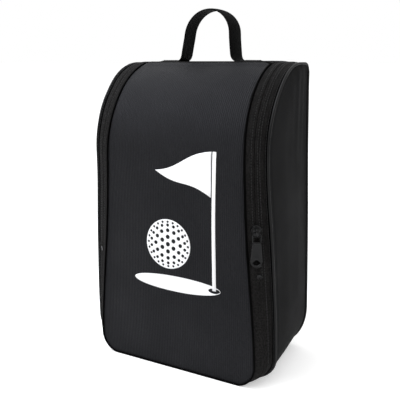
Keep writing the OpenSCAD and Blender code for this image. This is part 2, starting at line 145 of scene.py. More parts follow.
class TrimShape(bpy.types.PropertyGroup):
    """Piping, zip, stitches, webbing and slider."""
    front_piping: length("Front piping", "Radius of the piping round the front panel", 0.0009)
    side_piping: length("Side piping", "Radius of the piping in the side and back seams", 0.0015)
    zip_line: share("Zip line", "Share of the band's width at which the zip runs", 0.42)
    tape_edge: share("Tape edge", "Share of the band's width at which the zip tape ends", 0.70)
    slit: length("Slit", "Gap between the two tapes", 0.0004)
    coil_pitch: length("Coil pitch", "Length of one turn of the zip's coil", 0.0014)
    stitch: length("Stitch", "Length of one stitch with its gap", 0.0028)
    webbing_w: length("Webbing width", "Width of the handle's webbing", 0.023)
    webbing_t: length("Webbing thickness", "Thickness of the handle's webbing", 0.0016)
    leg: length("Leg distance", "Distance of a handle leg from the handle's middle", 0.031)
    bend: length("Foot bend", "Radius of the bend from a leg into its foot", 0.0075)
    foot_end: length("Foot end", "Distance of a foot's outer end from the handle's middle", 0.0606)
    lean: length("Lean", "How far the handle's top leans to the right", 0.0026)
    slider_z: length("Slider height", "Height of the slider on the closed bag", 0.169)
    slider_len: length("Slider length", "Length of the slider's body", 0.013)
    slider_w: length("Slider width", "Width of the slider's body", 0.0108)
    link: length("Link length", "Length of the wire link that holds the tab", 0.0085)
    tab_len: length("Tab length", "Length of the pull tab", 0.0255)
    tab_w: length("Tab width", "Width of the pull tab at its eye", 0.0125)


class PrintShape(bpy.types.PropertyGroup):
    """The printed motif: a ball and a flag on a green."""
    lift: length("Lift", "How far the print stands on the fabric", 0.00018)
    offset: length("Offset", "Offset of the print from the middle of the front", 0.014, -1.0)
    stick_x: length("Stick place", "Distance of the flagstick from the middle", 0.034, -1.0)
    stick_w: length("Stick width", "Width of the flagstick", 0.004)
    flag_top: length("Flag top", "Height of the flag's top", 0.244)
    flag_len: length("Flag length", "Length of the flag", 0.066)
    flag_drop: length("Flag height", "Height of the flag at the stick", 0.046)
    ball_x: length("Ball place", "Place of the ball across the front", -0.018, -1.0)
    ball_r: length("Ball radius", "Radius of the ball", 0.027)
    dimples: IntProperty(name="Dimple rings", description="Rings of dimples in the ball", default=4, min=0)
    green_z: length("Green height", "Height of the green's middle", 0.100)
    green_w: length("Green width", "Width of the green", 0.104)
    green_h: length("Green depth", "Height of the green's oval", 0.017)


class Finish(bpy.types.PropertyGroup):
    """Colours and weaves."""
    fabric: colour("Fabric", "Ribbed nylon of the panels", (0.0046, 0.0046, 0.0049))
    side: colour("Side", "Plain nylon of the side panels", (0.0112, 0.0112, 0.0115))
    tape: colour("Tape", "Woven zip tape", (0.0068, 0.0064, 0.0062))
    piping: colour("Piping", "Piping", (0.0034, 0.0034, 0.0035))
    cord: colour("Cord", "Thin cord in the front seam", (0.0008, 0.0008, 0.0008))
    webbing: colour("Webbing", "Webbing of the handle", (0.0016, 0.0016, 0.0016))
    metal: colour("Metal", "Enamel of the slider", (0.0012, 0.0012, 0.0013))
    ink: colour("Print", "Ink of the motif", (0.97, 0.97, 0.97))
    rib: length("Rib pitch", "Distance between two ribs of the fabric", 0.0021)
    weft: length("Weft pitch", "Distance between two weft threads", 0.0011)
    herring: length("Herringbone column", "Width of one column of herringbone", 0.0030)
    twill: length("Twill pitch", "Distance between two threads of the tape", 0.0013)


class StageSettings(bpy.types.PropertyGroup):
    """Camera and light."""
    azimuth: angle("Azimuth", "Direction of the camera round the bag", 28.448)
    elevation: angle("Elevation", "Height of the camera above the horizon", 13.218)
    camera: FloatVectorProperty(name="Camera", description="Place of the camera", size=3,
                                default=(0.3078, -0.5662, 0.3297), subtype="TRANSLATION", unit="LENGTH")
    lens: FloatProperty(name="Lens", description="Focal length in millimetres", default=53.1, min=1)
    sky: share("Sky", "Strength of the light from straight above", 1.10, 4.0)
    horizon: share("Horizon", "Strength of the light from the horizon", 0.28, 4.0)
    key: FloatProperty(name="Key light", description="Power of the key light in watts", default=5.0)
    fill: FloatProperty(name="Fill light", description="Power of the fill light in watts", default=0.5)
    top: FloatProperty(name="Top light", description="Power of the light above in watts", default=18.0)
    glow: share("Floor glow", "How much of the floor's white the camera sees as plain light", 0.42)


def bag():
    return bpy.context.scene.shoe_bag_shape


def soft():
    return bpy.context.scene.shoe_bag_soft


def trim():
    return bpy.context.scene.shoe_bag_trim


def finish():
    return bpy.context.scene.shoe_bag_finish


# ---- arithmetic on whole arrays ----

def mix(a, b, t):
    return a + (b - a) * t


def ease(t):
    """Smooth step from 0 to 1: 3t^2 - 2t^3, flat outside."""
    t = np.clip(t, 0, 1)
    return t * t * (3 - 2 * t)


def hill(x, middle, width):
    """Bell curve of height 1 round the middle."""
    return np.exp(-((x - middle) / width) ** 2)


def unit(v):
    return v / np.maximum(np.linalg.norm(v, axis=-1, keepdims=True), 1e-12)


def points(*axes):
    """Stacks x, y and z, stretched to one common shape, into points."""
    return np.stack(np.broadcast_arrays(*[np.asarray(a, float) for a in axes]), -1)


def run_along(path):
    """Length along a path up to each of its points."""
    return np.concatenate([[0], np.cumsum(np.linalg.norm(np.diff(path, axis=0), axis=1))])


def read_off(at, run, values):
    """Rows of values given at the lengths run, read off at the lengths at."""
    return np.stack([np.interp(at, run, column) for column in values.T], -1)


def away(normal, path):
    """Normals along a path, each turned away from the middle of the bag."""
    return normal * np.sign(np.sum(normal * (path - MIDDLE), axis=1))[:, None]


def waves(x, y):
    """Soft uneven surface between about -1 and 1: a sum of four sine waves in different directions."""
    return (0.45 * np.sin(41 * x + 23 * y + 0.7) + 0.30 * np.sin(-67 * x + 38 * y + 2.1)
            + 0.25 * np.sin(29 * x - 83 * y + 4.0) + 0.20 * np.sin(97 * x + 61 * y + 1.3))


def grid_normals(grid):
    """Normals of a grid of points, from the cross product of its two directions, turned away from the middle
    of the bag. Also says whether the cross product already points that way."""
    normal = unit(np.cross(np.gradient(grid, axis=0), np.gradient(grid, axis=1)))
    outward = np.sum(normal * (grid - MIDDLE)) > 0
    return (normal if outward else -normal), outward


# ---- outline of the bag ----

def half_w(z):
    """Half the front panel's width: straight from the floor to the roof."""
    s = bag()
    return mix(s.front_bottom, s.front_top, z / s.height) / 2


def slant(z):
    """Angle between the band and the front panel, which eases off near the roof."""
    s = bag()
    return mix(s.slant_bottom, s.slant_top, z / s.height) - s.slant_level * ease((z - 0.300) / 0.03)


def side_x(z):
    """Where the side panel stands: the front edge plus the slanted band."""
    return half_w(z) + bag().band * np.cos(slant(z))


def roof(b):
    """Quarter ellipse from the front into the roof at angle b: y, z and the outward normal's y, z."""
    s = bag()
    y = FRONT_Y + s.roof_run * (1 - np.cos(b))
    z = s.height - s.roof_rise * (1 - np.sin(b))
    normal = unit(np.stack([-s.roof_rise * np.cos(b), s.roof_run * np.sin(b)], -1))
    return y, z, normal[..., 0], normal[..., 1]


def front_height():
    return bag().height - bag().roof_rise


def flap_end_row():
    """Value of q at which the front panel ends on the roof curve."""
    return 4 + flap_end_angle() / (math.pi / 2)


def roof_slit():
    """Distance behind the front plane at which the zip crosses the roof."""
    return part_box("zip_tape_flap_top")[1].y - FRONT_Y + 0.0008


def front_length():
    """Length of the front panel from the floor up and round to its end on the roof."""
    return front_height() + float(np.interp(flap_end_angle(), *roof_lengths()))


def roof_lengths():
    """Angles round the roof curve, and the length of the curve up to each."""
    b = np.linspace(0, math.pi / 2, 400)
    y, z, _, _ = roof(b)
    steps = np.hypot(np.diff(y), np.diff(z))
    return b, np.concatenate([[0], np.cumsum(steps)])


def flap_end_angle():
    return math.acos(1 - bag().flap_end / bag().roof_run)


def band(q, w):
    """Point on the right half of the zip band. q counts its stretches: 0 to 1 along the floor, 1 to 2 round
    the bottom corner, 2 to 3 up to the fold, 3 to 4 up to the roof curve, 4 to 5 round it and 5 to 6 along
    the roof. w goes from 0 at the front seam to 1 at the side seam, along the slanted width."""
    s = bag()
    q, w = np.broadcast_arrays(np.asarray(q, float), np.asarray(w, float))
    t = [np.clip(q - k, 0, 1) for k in range(6)]
    top = front_height()

    def upright(z, w):
        return points(half_w(z) + w * s.band * np.cos(slant(z)), FRONT_Y + w * s.band * np.sin(slant(z)), z)

    floor_end = mix(half_w(0) - s.front_corner, side_x(0) - s.side_corner_w, w)
    floor = points(floor_end * t[0], FRONT_Y + s.band * w, 0 * w)
    a = (t[1] - 1) * math.pi / 2
    zf = s.front_corner * (1 + np.sin(a))
    zs = s.side_corner_front * (1 + np.sin(a))
    inner = points(half_w(zf) - s.front_corner * (1 - np.cos(a)), FRONT_Y, zf)
    outer = points(side_x(zs) - s.side_corner_w * (1 - np.cos(a)),
                   FRONT_Y + mix(s.band, s.band * np.sin(slant(zs)), t[1]), zs)
    corner = mix(inner, outer, w[..., None])
    rise = mix(upright(mix(s.front_corner, s.fold, t[2]), 0 * w),
               upright(mix(s.side_corner_front, s.fold, t[2]), 0 * w + 1), w[..., None])
    straight = upright(mix(s.fold, top, t[3]), w)
    y, z, ny, nz = roof(t[4] * math.pi / 2)
    y = y + t[5] * (s.depth - s.rear_round - s.roof_run)
    reach = w * s.band
    curve = points(half_w(z) + reach * np.cos(slant(z)), y - reach * np.sin(slant(z)) * ny,
                   z - reach * np.sin(slant(z)) * nz)
    stretch = np.clip(np.floor(q), 0, 5).astype(int)[..., None]
    return np.select([stretch == k for k in range(4)], [floor, corner, rise, straight], curve)


def even_rows(first, last, w, step=0.0025):
    """Values of q from first to last that lie about step apart along the band at w."""
    fine = np.linspace(first, last, 1500)
    path = band(fine, w)
    run = run_along(path)
    count = max(int(run[-1] / step), 2) + 1
    return np.interp(np.linspace(0, run[-1], count), run, fine)


def mirrored(grid):
    return grid * np.array([-1.0, 1.0, 1.0])


def seam_path(w, first, last, step=0.0015):
    """Both halves of a line along the band at w, joined in the middle of the floor."""
    right = band(even_rows(first, last, w, step), w)
    return np.concatenate([mirrored(right)[::-1], right[1:]])


# ---- meshes ----

def slack(x, y, z):
    """How far the filled bag's sides move across at a place: in at the slider's height, rather higher up at
    the side seam than at the front seam, and out near the floor. Each is a bell curve over the height, in
    proportion to the distance from the middle, and less towards the back."""
    f = soft()
    behind = np.clip((y - FRONT_Y) / 0.013, 0, 1)
    amount = (f.belly * hill(z, 0.050, 0.072)
              - f.pinch * mix(hill(z, 0.178, 0.090), hill(z, 0.232, 0.062), behind))
    return amount * np.clip(x / half_w(z), -1.3, 1.3) * mix(1.0, 0.25, ease((y - FRONT_Y) / bag().depth))


def make_object(name, verts, faces, uv=None, smooth_angle=40, drape=True):
    """Mesh object from arrays. faces is one array of quads, or a list of arrays with any number of sides.
    uv gives each vertex its place on the cloth in metres. With drape it follows the slack of the sides."""
    if drape:
        x, y, z = np.asarray(verts, float).T
        verts = points(x + slack(x, y, z), y, np.maximum(z, 0))
    mesh = bpy.data.meshes.new(name)
    groups = faces if isinstance(faces, list) else [faces]
    sides = np.concatenate([np.full(len(g), g.shape[1]) for g in groups])
    corners = np.concatenate([g.ravel() for g in groups])
    mesh.vertices.add(len(verts))
    mesh.vertices.foreach_set("co", np.asarray(verts, np.float32).ravel())
    mesh.loops.add(len(corners))
    mesh.loops.foreach_set("vertex_index", corners.astype(np.int32))
    mesh.polygons.add(len(sides))
    starts = np.concatenate([[0], np.cumsum(sides)[:-1]])
    mesh.polygons.foreach_set("loop_start", starts.astype(np.int32))
    if uv is not None:
        layer = mesh.uv_layers.new(name="cloth")
        layer.data.foreach_set("uv", np.asarray(uv, np.float32)[corners].ravel())
    mesh.update(calc_edges=True)
    mesh.shade_smooth()
    mesh.set_sharp_from_angle(angle=math.radians(smooth_angle))
    if mesh.validate():
        raise RuntimeError(f"{name} had broken faces")
    obj = bpy.data.objects.new(name, mesh)
    bpy.context.scene.collection.objects.link(obj)
    return obj


def quads(rows, cols, close_rows=False, close_cols=False):
    """Quads of a grid of rows by cols points, wrapped round where asked."""
    i = np.arange(rows * cols).reshape(rows, cols)
    if close_rows:
        i = np.concatenate([i, i[:1]])
    if close_cols:
        i = np.concatenate([i, i[:, :1]], axis=1)
    return np.stack([i[:-1, :-1], i[1:, :-1], i[1:, 1:], i[:-1, 1:]], -1).reshape(-1, 4)


def flat_uv(grid):
    """Place of each grid point on the cloth: the length along its column, and across from the middle."""
    along = np.cumsum(np.linalg.norm(np.diff(grid, axis=0, prepend=grid[:1]), axis=-1), axis=0)
    across = np.cumsum(np.linalg.norm(np.diff(grid, axis=1, prepend=grid[:, :1]), axis=-1), axis=1)
    middle = grid.shape[1] // 2
    return np.stack([across - across[:, middle:middle + 1], 0 * across + along[:, middle:middle + 1]], -1)


def sheet_arrays(grid, thickness, uv=None):
    """Closed shell: the grid as its outer face, the grid moved in along its normals as its inner face, and
    a rim of quads round the edge. Returns vertices, faces and the cloth place of each vertex."""
    rows, cols = grid.shape[:2]
    normal, outward = grid_normals(grid)
    count = rows * cols
    verts = np.concatenate([grid.reshape(-1, 3), (grid - thickness * normal).reshape(-1, 3)])
    face = quads(rows, cols)
    i = np.arange(count).reshape(rows, cols)
    ring = np.concatenate([i[0, :-1], i[:-1, -1], i[-1, :0:-1], i[:0:-1, 0]])
    after = np.roll(ring, -1)
    rim = np.stack([ring, after, after + count, ring + count], -1)
    faces = np.concatenate([face, face[:, ::-1] + count, rim])
    if not outward:
        faces = faces[:, ::-1]
    place = (flat_uv(grid) if uv is None else uv).reshape(-1, 2)
    return verts, faces, np.concatenate([place, place])


def relaxed(path, window, closed=False):
    """Rounds a path's corners: each point becomes the mean of its neighbours within the window."""
    half = window // 2
    if closed:
        return np.mean([np.roll(path, k, axis=0) for k in range(-half, half + 1)], axis=0)
    padded = np.concatenate([np.repeat(path[:1], half, 0), path, np.repeat(path[-1:], half, 0)])
    return np.mean([padded[k:k + len(path)] for k in range(2 * half + 1)], axis=0)


def tube_arrays(path, radius, sides=10, closed=False, hint=None):
    """Rings round a path. The rings stand square to it, with one axis away from the bag's middle or along
    hint. Each open end gets one more small ring at its middle, for its closing face."""
    if closed:
        tangent = unit(np.roll(path, -1, axis=0) - np.roll(path, 1, axis=0))
    else:
        tangent = unit(np.gradient(path, axis=0))
    outward = path - MIDDLE if hint is None else np.broadcast_to(hint, path.shape)
    side = unit(np.cross(tangent, outward))
    up = np.cross(side, tangent)
    turn = np.linspace(0, 2 * math.pi, sides, endpoint=False)
    size = np.broadcast_to(np.asarray(radius, float).reshape(-1, 1, 1), (len(path), 1, 1))
    rings = path[:, None] + size * (np.cos(turn)[None, :, None] * side[:, None]
                                    + np.sin(turn)[None, :, None] * up[:, None])
    if not closed:
        rings = np.concatenate([path[None, :1].repeat(sides, 1), rings, path[None, -1:].repeat(sides, 1)])
        rings[0] = mix(path[0], rings[1], 0.02)
        rings[-1] = mix(path[-1], rings[-2], 0.02)
    rows = len(rings)
    faces = quads(rows, sides, close_rows=closed, close_cols=True)
    run = np.cumsum(np.linalg.norm(np.diff(rings[:, 0], axis=0, prepend=rings[:1, 0]), axis=-1))
    place = np.stack(np.broadcast_arrays(turn[None] * np.mean(radius), run[:, None]), -1)
    return rings.reshape(-1, 3), faces, place.reshape(-1, 2)


def tube_caps(rows, sides):
    """The two faces that close an open tube."""
    first = np.arange(sides)[None]
    return [first, (first + (rows - 1) * sides)[:, ::-1]]


def hull_outline(circles, count):
    """Outline of a band stretched round circles (x, z, r): in each direction the circle that reaches
    furthest gives the point."""
    turn = np.linspace(0, 2 * math.pi, count, endpoint=False)
    ray = np.stack([np.cos(turn), np.sin(turn)], -1)
    c = np.array(circles, float)
    best = np.argmax(ray @ c[:, :2].T + c[:, 2], axis=1)
    return c[best, :2] + c[best, 2:] * ray


def loft(rings):
    """Closed solid through rings of points, with a flat face at each end. Its faces still have to be turned
    outwards."""
    rings = np.asarray(rings, float)
    rows, sides = rings.shape[:2]
    return rings.reshape(-1, 3), [quads(rows, sides, close_cols=True)] + tube_caps(rows, sides)


def outward_faces(obj):
    """Turns a closed mesh's faces outwards."""
    work = bmesh.new()
    work.from_mesh(obj.data)
    bmesh.ops.recalc_face_normals(work, faces=work.faces)
    work.to_mesh(obj.data)
    work.free()
    return obj


def tube(name, path, radius, sides=10, closed=False, hint=None, drape=True):
    """Solid tube round a path."""
    verts, faces, place = tube_arrays(path, radius, sides, closed, hint)
    groups = [faces] if closed else [faces] + tube_caps(len(path) + 2, sides)
    return outward_faces(make_object(name, verts, groups, place, drape=drape))


def stitches(name, paths, lift=0.0002, width=0.00028, gap=0.28):
    """Thread along paths: one small flattened capsule for each stitch, each path given with its outward
    directions. A stitch is five rings of six points, placed by its middle, its direction and its normal."""
    pitch = trim().stitch
    ends, directions, outs = [], [], []
    for path, out in paths:
        run = run_along(path)
        count = max(int(run[-1] / pitch), 1)
        at = (np.arange(count) + 0.5) * run[-1] / count
        normal = unit(read_off(at, run, out))
        ends.append(read_off(at, run, path) + lift * normal)
        directions.append(unit(read_off(at + pitch / 4, run, path) - read_off(at - pitch / 4, run, path)))
        outs.append(normal)
    centre, along, out = (np.concatenate(a) for a in (ends, directions, outs))
    side = unit(np.cross(along, out))
    out = np.cross(side, along)
    reach = np.array([-1, -0.8, 0, 0.8, 1]) * pitch * (1 - gap) / 2
    size = np.array([0.25, 0.8, 1, 0.8, 0.25]) * width
    sink = np.array([-1.2, -0.5, 0.2, -0.5, -1.2]) * width
    turn = np.linspace(0, 2 * math.pi, 6, endpoint=False)
    ring = (reach[None, :, None, None] * along[:, None, None]
            + sink[None, :, None, None] * out[:, None, None]
            + size[None, :, None, None] * (np.cos(turn)[None, None, :, None] * side[:, None, None]
                                           + np.sin(turn)[None, None, :, None] * out[:, None, None]))
    verts = (centre[:, None, None] + ring).reshape(-1, 3)
    face = quads(5, 6, close_cols=True)
    caps = np.array([[0, 1, 2, 3, 4, 5], [29, 28, 27, 26, 25, 24]])
    steps = np.arange(len(centre))[:, None, None] * 30
    groups = [(face[None] + steps).reshape(-1, 4), (caps[None] + steps).reshape(-1, 6)]
    return make_object(name, verts, groups)


def place_piece(obj, material, body=None, blend=None, replaces=()):
    """Gives a piece its finish, hides the parts that it stands in for, and ties it to its body; a piece with
    a blend is only fixed where it stands.
    """
    obj.data.materials.clear()
    obj.data.materials.append(material)
    if replaces:
        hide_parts(*replaces)
    if blend:
        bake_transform(obj)
    else:
        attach(obj, body)
    return obj


def fold_blend():
    """Stretch of the front from the shell to the flap, from a little below the fold to a little above it. A
    piece given it is only fixed where it stands."""
    z = bag().fold
    return ("shell", "flap", (0, FRONT_Y, z - 0.012), (0, FRONT_Y, z + 0.018))


# ---- materials ----

class Graph:
    """Small helper that adds nodes to a node tree and links them."""

    def __init__(self, tree):
        self.tree = tree

    def add(self, kind, **settings):
        node = self.tree.nodes.new(kind)
        for name, value in settings.items():
            setattr(node, name, value)
        return node

    def put(self, socket, value):
        if isinstance(value, bpy.types.NodeSocket):
            self.tree.links.new(value, socket)
        else:
            socket.default_value = value

    def math(self, operation, *values, clamp=False):
        node = self.add("ShaderNodeMath", operation=operation, use_clamp=clamp)
        for socket, value in zip(node.inputs, values):
            self.put(socket, value)
        return node.outputs[0]

    def place(self):
        return self.add("ShaderNodeTexCoord").outputs["Object"]

    def split(self, vector):
        node = self.add("ShaderNodeSeparateXYZ")
        self.put(node.inputs[0], vector)
        return node.outputs

    def blend(self, factor, a, b):
        node = self.add("ShaderNodeMix", data_type="RGBA")
        self.put(node.inputs["Factor"], factor)
        self.put(node.inputs[6], a)
        self.put(node.inputs[7], b)
        return node.outputs[2]

    def noise(self, vector, scale, detail=3.0, roughness=0.55):
        node = self.add("ShaderNodeTexNoise")
        self.put(node.inputs["Vector"], vector)
        self.put(node.inputs["Scale"], scale)
        self.put(node.inputs["Detail"], detail)
        self.put(node.inputs["Roughness"], roughness)
        return node.outputs["Fac"]

    def remap(self, value, low, high, to_low=0.0, to_high=1.0):
        node = self.add("ShaderNodeMapRange")
        for name, v in (("Value", value), ("From Min", low), ("From Max", high),
                        ("To Min", to_low), ("To Max", to_high)):
            self.put(node.inputs[name], v)
        return node.outputs[0]

    def group(self, tree, **values):
        node = self.add("ShaderNodeGroup", node_tree=tree)
        for name, value in values.items():
            self.put(node.inputs[name.replace("_", " ")], value)
        return node.outputs


def new_group(name, inputs, outputs):
    """Empty shader node group with named sockets; returns it with its graph and its two end nodes."""
    tree = bpy.data.node_groups.new(name, "ShaderNodeTree")
    for label, kind, value in inputs:
        socket = tree.interface.new_socket(name=label, in_out="INPUT", socket_type=kind)
        if value is not None:
            socket.default_value = value
    for label in outputs:
        tree.interface.new_socket(name=label, in_out="OUTPUT", socket_type="NodeSocketFloat")
    g = Graph(tree)
    return tree, g, g.add("NodeGroupInput").outputs, g.add("NodeGroupOutput").inputs


def shared_group(name, build):
    return bpy.data.node_groups.get(name) or build(name)


def rib_weave(name):
    """Ribbed plain weave. A rib is the sine of u over the rib pitch; the weft is the sine of v over the weft
    pitch, half a step on in every second rib; the height is the two together."""
    sockets = [("Cloth", "NodeSocketVector", None), ("Rib", "NodeSocketFloat", 0.002),
               ("Weft", "NodeSocketFloat", 0.001)]
    tree, g, src, out = new_group(name, sockets, ["Height", "Tone"])
    at = g.split(src["Cloth"])
    u = g.math("DIVIDE", at["X"], src["Rib"])
    v = g.math("DIVIDE", at["Y"], src["Weft"])
    rib = g.math("ABSOLUTE", g.math("SINE", g.math("MULTIPLY", u, math.pi)))
    shift = g.math("MULTIPLY", g.math("FLOOR", u), math.pi)
    weft = g.math("SINE", g.math("ADD", g.math("MULTIPLY", v, 2 * math.pi), shift))
    weft = g.math("MULTIPLY_ADD", weft, 0.5, 0.5)
    height = g.math("ADD", g.math("MULTIPLY", rib, 0.65), g.math("MULTIPLY", weft, 0.35))
    g.put(out["Height"], height)
    g.put(out["Tone"], g.math("MULTIPLY", height, rib))
    return tree


def herringbone(name):
    """Herringbone. Threads are the sine of v plus the distance from the middle of the column, so that they
    slope one way in one half of each column and the other way in the next; columns part in a groove."""
    sockets = [("Cloth", "NodeSocketVector", None), ("Column", "NodeSocketFloat", 0.003),
               ("Thread", "NodeSocketFloat", 0.001)]
    tree, g, src, out = new_group(name, sockets, ["Height", "Tone"])
    at = g.split(src["Cloth"])
    zigzag = g.math("PINGPONG", at["X"], src["Column"])
    slope = g.math("ADD", at["Y"], zigzag)
    phase = g.math("DIVIDE", g.math("MULTIPLY", slope, math.pi), src["Thread"])
    thread = g.math("ABSOLUTE", g.math("SINE", phase))
    turnover = g.math("DIVIDE", zigzag, src["Column"])
    groove = g.math("MULTIPLY", g.math("SINE", g.math("MULTIPLY", turnover, math.pi)), 4.0, clamp=True)
    height = g.math("MULTIPLY", thread, g.math("MULTIPLY_ADD", groove, 0.5, 0.5))
    g.put(out["Height"], height)
    g.put(out["Tone"], thread)
    return tree


def cloth_wear(name):
    """Uneven wear: broad patches of noise, and fine specks of lint where a much finer noise peaks."""
    sockets = [("Place", "NodeSocketVector", None), ("Patch", "NodeSocketFloat", 14.0)]
    tree, g, src, out = new_group(name, sockets, ["Patches", "Lint"])
    g.put(out["Patches"], g.remap(g.noise(src["Place"], src["Patch"]), 0.35, 0.68))
    g.put(out["Lint"], g.remap(g.noise(src["Place"], 900.0, 1.0), 0.74, 0.80))
    return tree


def start_material(name, **sockets):
    """Material with one Principled shader whose constant values are set on its sockets."""
    material = bpy.data.materials.new(name)
    material.use_nodes = True
    shader = material.node_tree.nodes["Principled BSDF"]
    for label, value in sockets.items():
        shader.inputs[label.replace("_", " ")].default_value = value
    return material, Graph(material.node_tree), shader.inputs


def rgba(c, gain=1.0):
    return (c[0] * gain, c[1] * gain, c[2] * gain, 1.0)


def bumped(g, height, distance, strength):
    node = g.add("ShaderNodeBump")
    g.put(node.inputs["Height"], height)
    g.put(node.inputs["Distance"], distance)
    g.put(node.inputs["Strength"], strength)
    return node.outputs["Normal"]


def woven(name, base, weave, pitches, light=2.1, rough=(0.50, 0.66), depth=0.00025, strength=0.6, grain=0.25,
          seam_shade_bounds=None, **sockets):
    """Woven cloth: the weave gives tone and bump, wear changes its colour and roughness in patches, and
    uneven yarn gives it a fine grain. Between the two bounds given across the cloth it keeps its colour,
    and beyond them it is painted near black, as painted shade in the grooves beside the seams."""
    material, g, inputs = start_material(name, **sockets)
    cloth = g.add("ShaderNodeUVMap", uv_map="cloth").outputs[0]
    place = g.place()
    thread = g.group(weave, Cloth=cloth, **pitches)
    wear = g.group(shared_group("cloth_wear", cloth_wear), Place=place)
    yarn = g.remap(g.noise(place, 620.0, 1.5), 0.34, 0.66, 1.0 - grain, 1.0 + grain)
    tone = g.math("MULTIPLY", g.math("MULTIPLY", thread["Tone"], yarn),
                  g.remap(wear["Patches"], 0, 1, 0.45, 0.75))
    worn = g.blend(tone, rgba(base, 0.62), rgba(base, light))
    worn = g.blend(g.math("MULTIPLY", wear["Lint"], 0.25), worn, rgba(base, 6.0))
    # Painted shade: near the seams the colour, with its wear and lint, is blended to near black for the shade
    # in the seam grooves.
    if seam_shade_bounds:
        across = g.math("ABSOLUTE", g.split(cloth)["X"])
        low = g.remap(across, seam_shade_bounds[0], seam_shade_bounds[0] + 0.0006)
        high = g.remap(across, seam_shade_bounds[1] - 0.0006, seam_shade_bounds[1], 1.0, 0.0)
        worn = g.blend(g.math("MULTIPLY", low, high), (0.0006, 0.0006, 0.0006, 1.0), worn)
    g.put(inputs["Base Color"], worn)
    g.put(inputs["Roughness"], g.remap(wear["Patches"], 0, 1, rough[1], rough[0]))
    g.put(inputs["Normal"], bumped(g, thread["Height"], depth, strength))
    return material


def material_named(name):
    """The finish of that name, made when a piece first asks for it."""
    found = bpy.data.materials.get(name)
    if found:
        return found
    f = finish()
    rib = shared_group("rib_weave", rib_weave)
    bone = shared_group("herringbone", herringbone)
    if name == "ribbed_nylon":
        return woven(name, f.fabric, rib, {"Rib": f.rib, "Weft": f.weft}, light=2.9, depth=0.0004,
                     strength=0.9, grain=0.6, rough=(0.42, 0.54), Specular_IOR_Level=0.17,
                     Specular_Tint=(0.90, 0.91, 1.0, 1.0), Sheen_Weight=0.03, Sheen_Roughness=0.35,
                     Sheen_Tint=(0.78, 0.82, 1.0, 1.0))
    if name == "plain_nylon":
        return woven(name, f.side, rib, {"Rib": f.weft, "Weft": f.weft * 0.8}, light=1.6, depth=0.00012,
                     rough=(0.62, 0.72), Specular_IOR_Level=0.05)
    # The tape is painted near black in a strip along each seam, as painted shade in the seam grooves.
    if name == "herringbone_tape":
        return woven(name, f.tape, bone, {"Column": f.herring, "Thread": f.twill}, light=3.4, depth=0.00045,
                     strength=1.0, grain=0.8, seam_shade_bounds=(0.0013, bag().band - 0.0026), rough=(0.66, 0.8),
                     Specular_IOR_Level=0.08)
    if name == "woven_webbing":
        return woven(name, f.webbing, bone, {"Column": f.herring * 0.65, "Thread": f.twill * 0.8}, light=2.6,
                     depth=0.0004, strength=1.0, rough=(0.6, 0.75), Specular_IOR_Level=0.07)
    if name == "dull_cord":
        return woven(name, f.cord, rib, {"Rib": f.weft, "Weft": f.weft * 0.7}, light=1.8, depth=0.0001,
                     rough=(0.7, 0.8), Specular_IOR_Level=0.04)
    if name == "satin_piping":
        return woven(name, f.piping, rib, {"Rib": f.weft, "Weft": f.weft * 0.7}, light=1.8, depth=0.0001,
                     rough=(0.34, 0.46), Specular_IOR_Level=0.22)
    if name == "sewing_thread":
        material, g, inputs = start_material(name, Specular_IOR_Level=0.35, Roughness=0.5, Sheen_Weight=0.1)
        place = g.place()
        strands = g.noise(place, 2600.0, 1.0)
        g.put(inputs["Base Color"], g.blend(strands, rgba(f.piping, 1.5), rgba(f.piping, 5.0)))
        g.put(inputs["Normal"], bumped(g, strands, 0.00006, 0.6))
        return material
    if name == "coil_nylon":
        material, g, inputs = start_material(name, Specular_IOR_Level=0.5, Coat_Weight=0.1)
        place = g.place()
        mottle = g.noise(place, 300.0)
        g.put(inputs["Base Color"], g.blend(mottle, rgba(f.piping, 1.2), rgba(f.piping, 3.4)))
        g.put(inputs["Roughness"], g.remap(mottle, 0.3, 0.7, 0.28, 0.42))
        return material
    if name == "black_enamel":
        material, g, inputs = start_material(name, Specular_IOR_Level=0.20, Coat_Weight=0.12,
                                             Coat_Roughness=0.05)
        place = g.place()
        scuff = g.remap(g.noise(place, 420.0, 5.0, 0.7), 0.60, 0.72)
        g.put(inputs["Base Color"], g.blend(scuff, rgba(f.metal), rgba(f.metal, 14.0)))
        g.put(inputs["Roughness"], g.remap(scuff, 0, 1, 0.22, 0.42))
        g.put(inputs["Normal"], bumped(g, g.noise(place, 700.0, 2.0), 0.00008, 0.25))
        return material
    if name == "white_ink":
        material, g, inputs = start_material(name, Specular_IOR_Level=0.3)
        cloth = g.add("ShaderNodeUVMap", uv_map="cloth").outputs[0]
        place = g.place()
        thread = g.group(rib, Cloth=cloth, Rib=f.rib, Weft=f.weft)
        worn = g.group(shared_group("cloth_wear", cloth_wear), Place=place)
        shade = g.math("MULTIPLY", thread["Tone"], g.remap(worn["Patches"], 0, 1, 0.7, 1.0))
        g.put(inputs["Base Color"], g.blend(shade, rgba(f.ink, 0.93), rgba(f.ink)))
        g.put(inputs["Roughness"], g.remap(worn["Patches"], 0, 1, 0.62, 0.5))
        g.put(inputs["Normal"], bumped(g, thread["Height"], 0.0001, 0.25))
        return material
    if name == "base_plastic":
        material, g, inputs = start_material(name, Specular_IOR_Level=0.4)
        place = g.place()
        grain = g.noise(place, 1500.0, 2.0)
        g.put(inputs["Base Color"], g.blend(grain, (0.018, 0.018, 0.018, 1), (0.034, 0.034, 0.034, 1)))
        g.put(inputs["Roughness"], g.remap(grain, 0.3, 0.7, 0.45, 0.6))
        g.put(inputs["Normal"], bumped(g, grain, 0.0001, 0.4))
        return material
    raise RuntimeError(f"there is no finish named {name}")


# ---- front panel and print ----

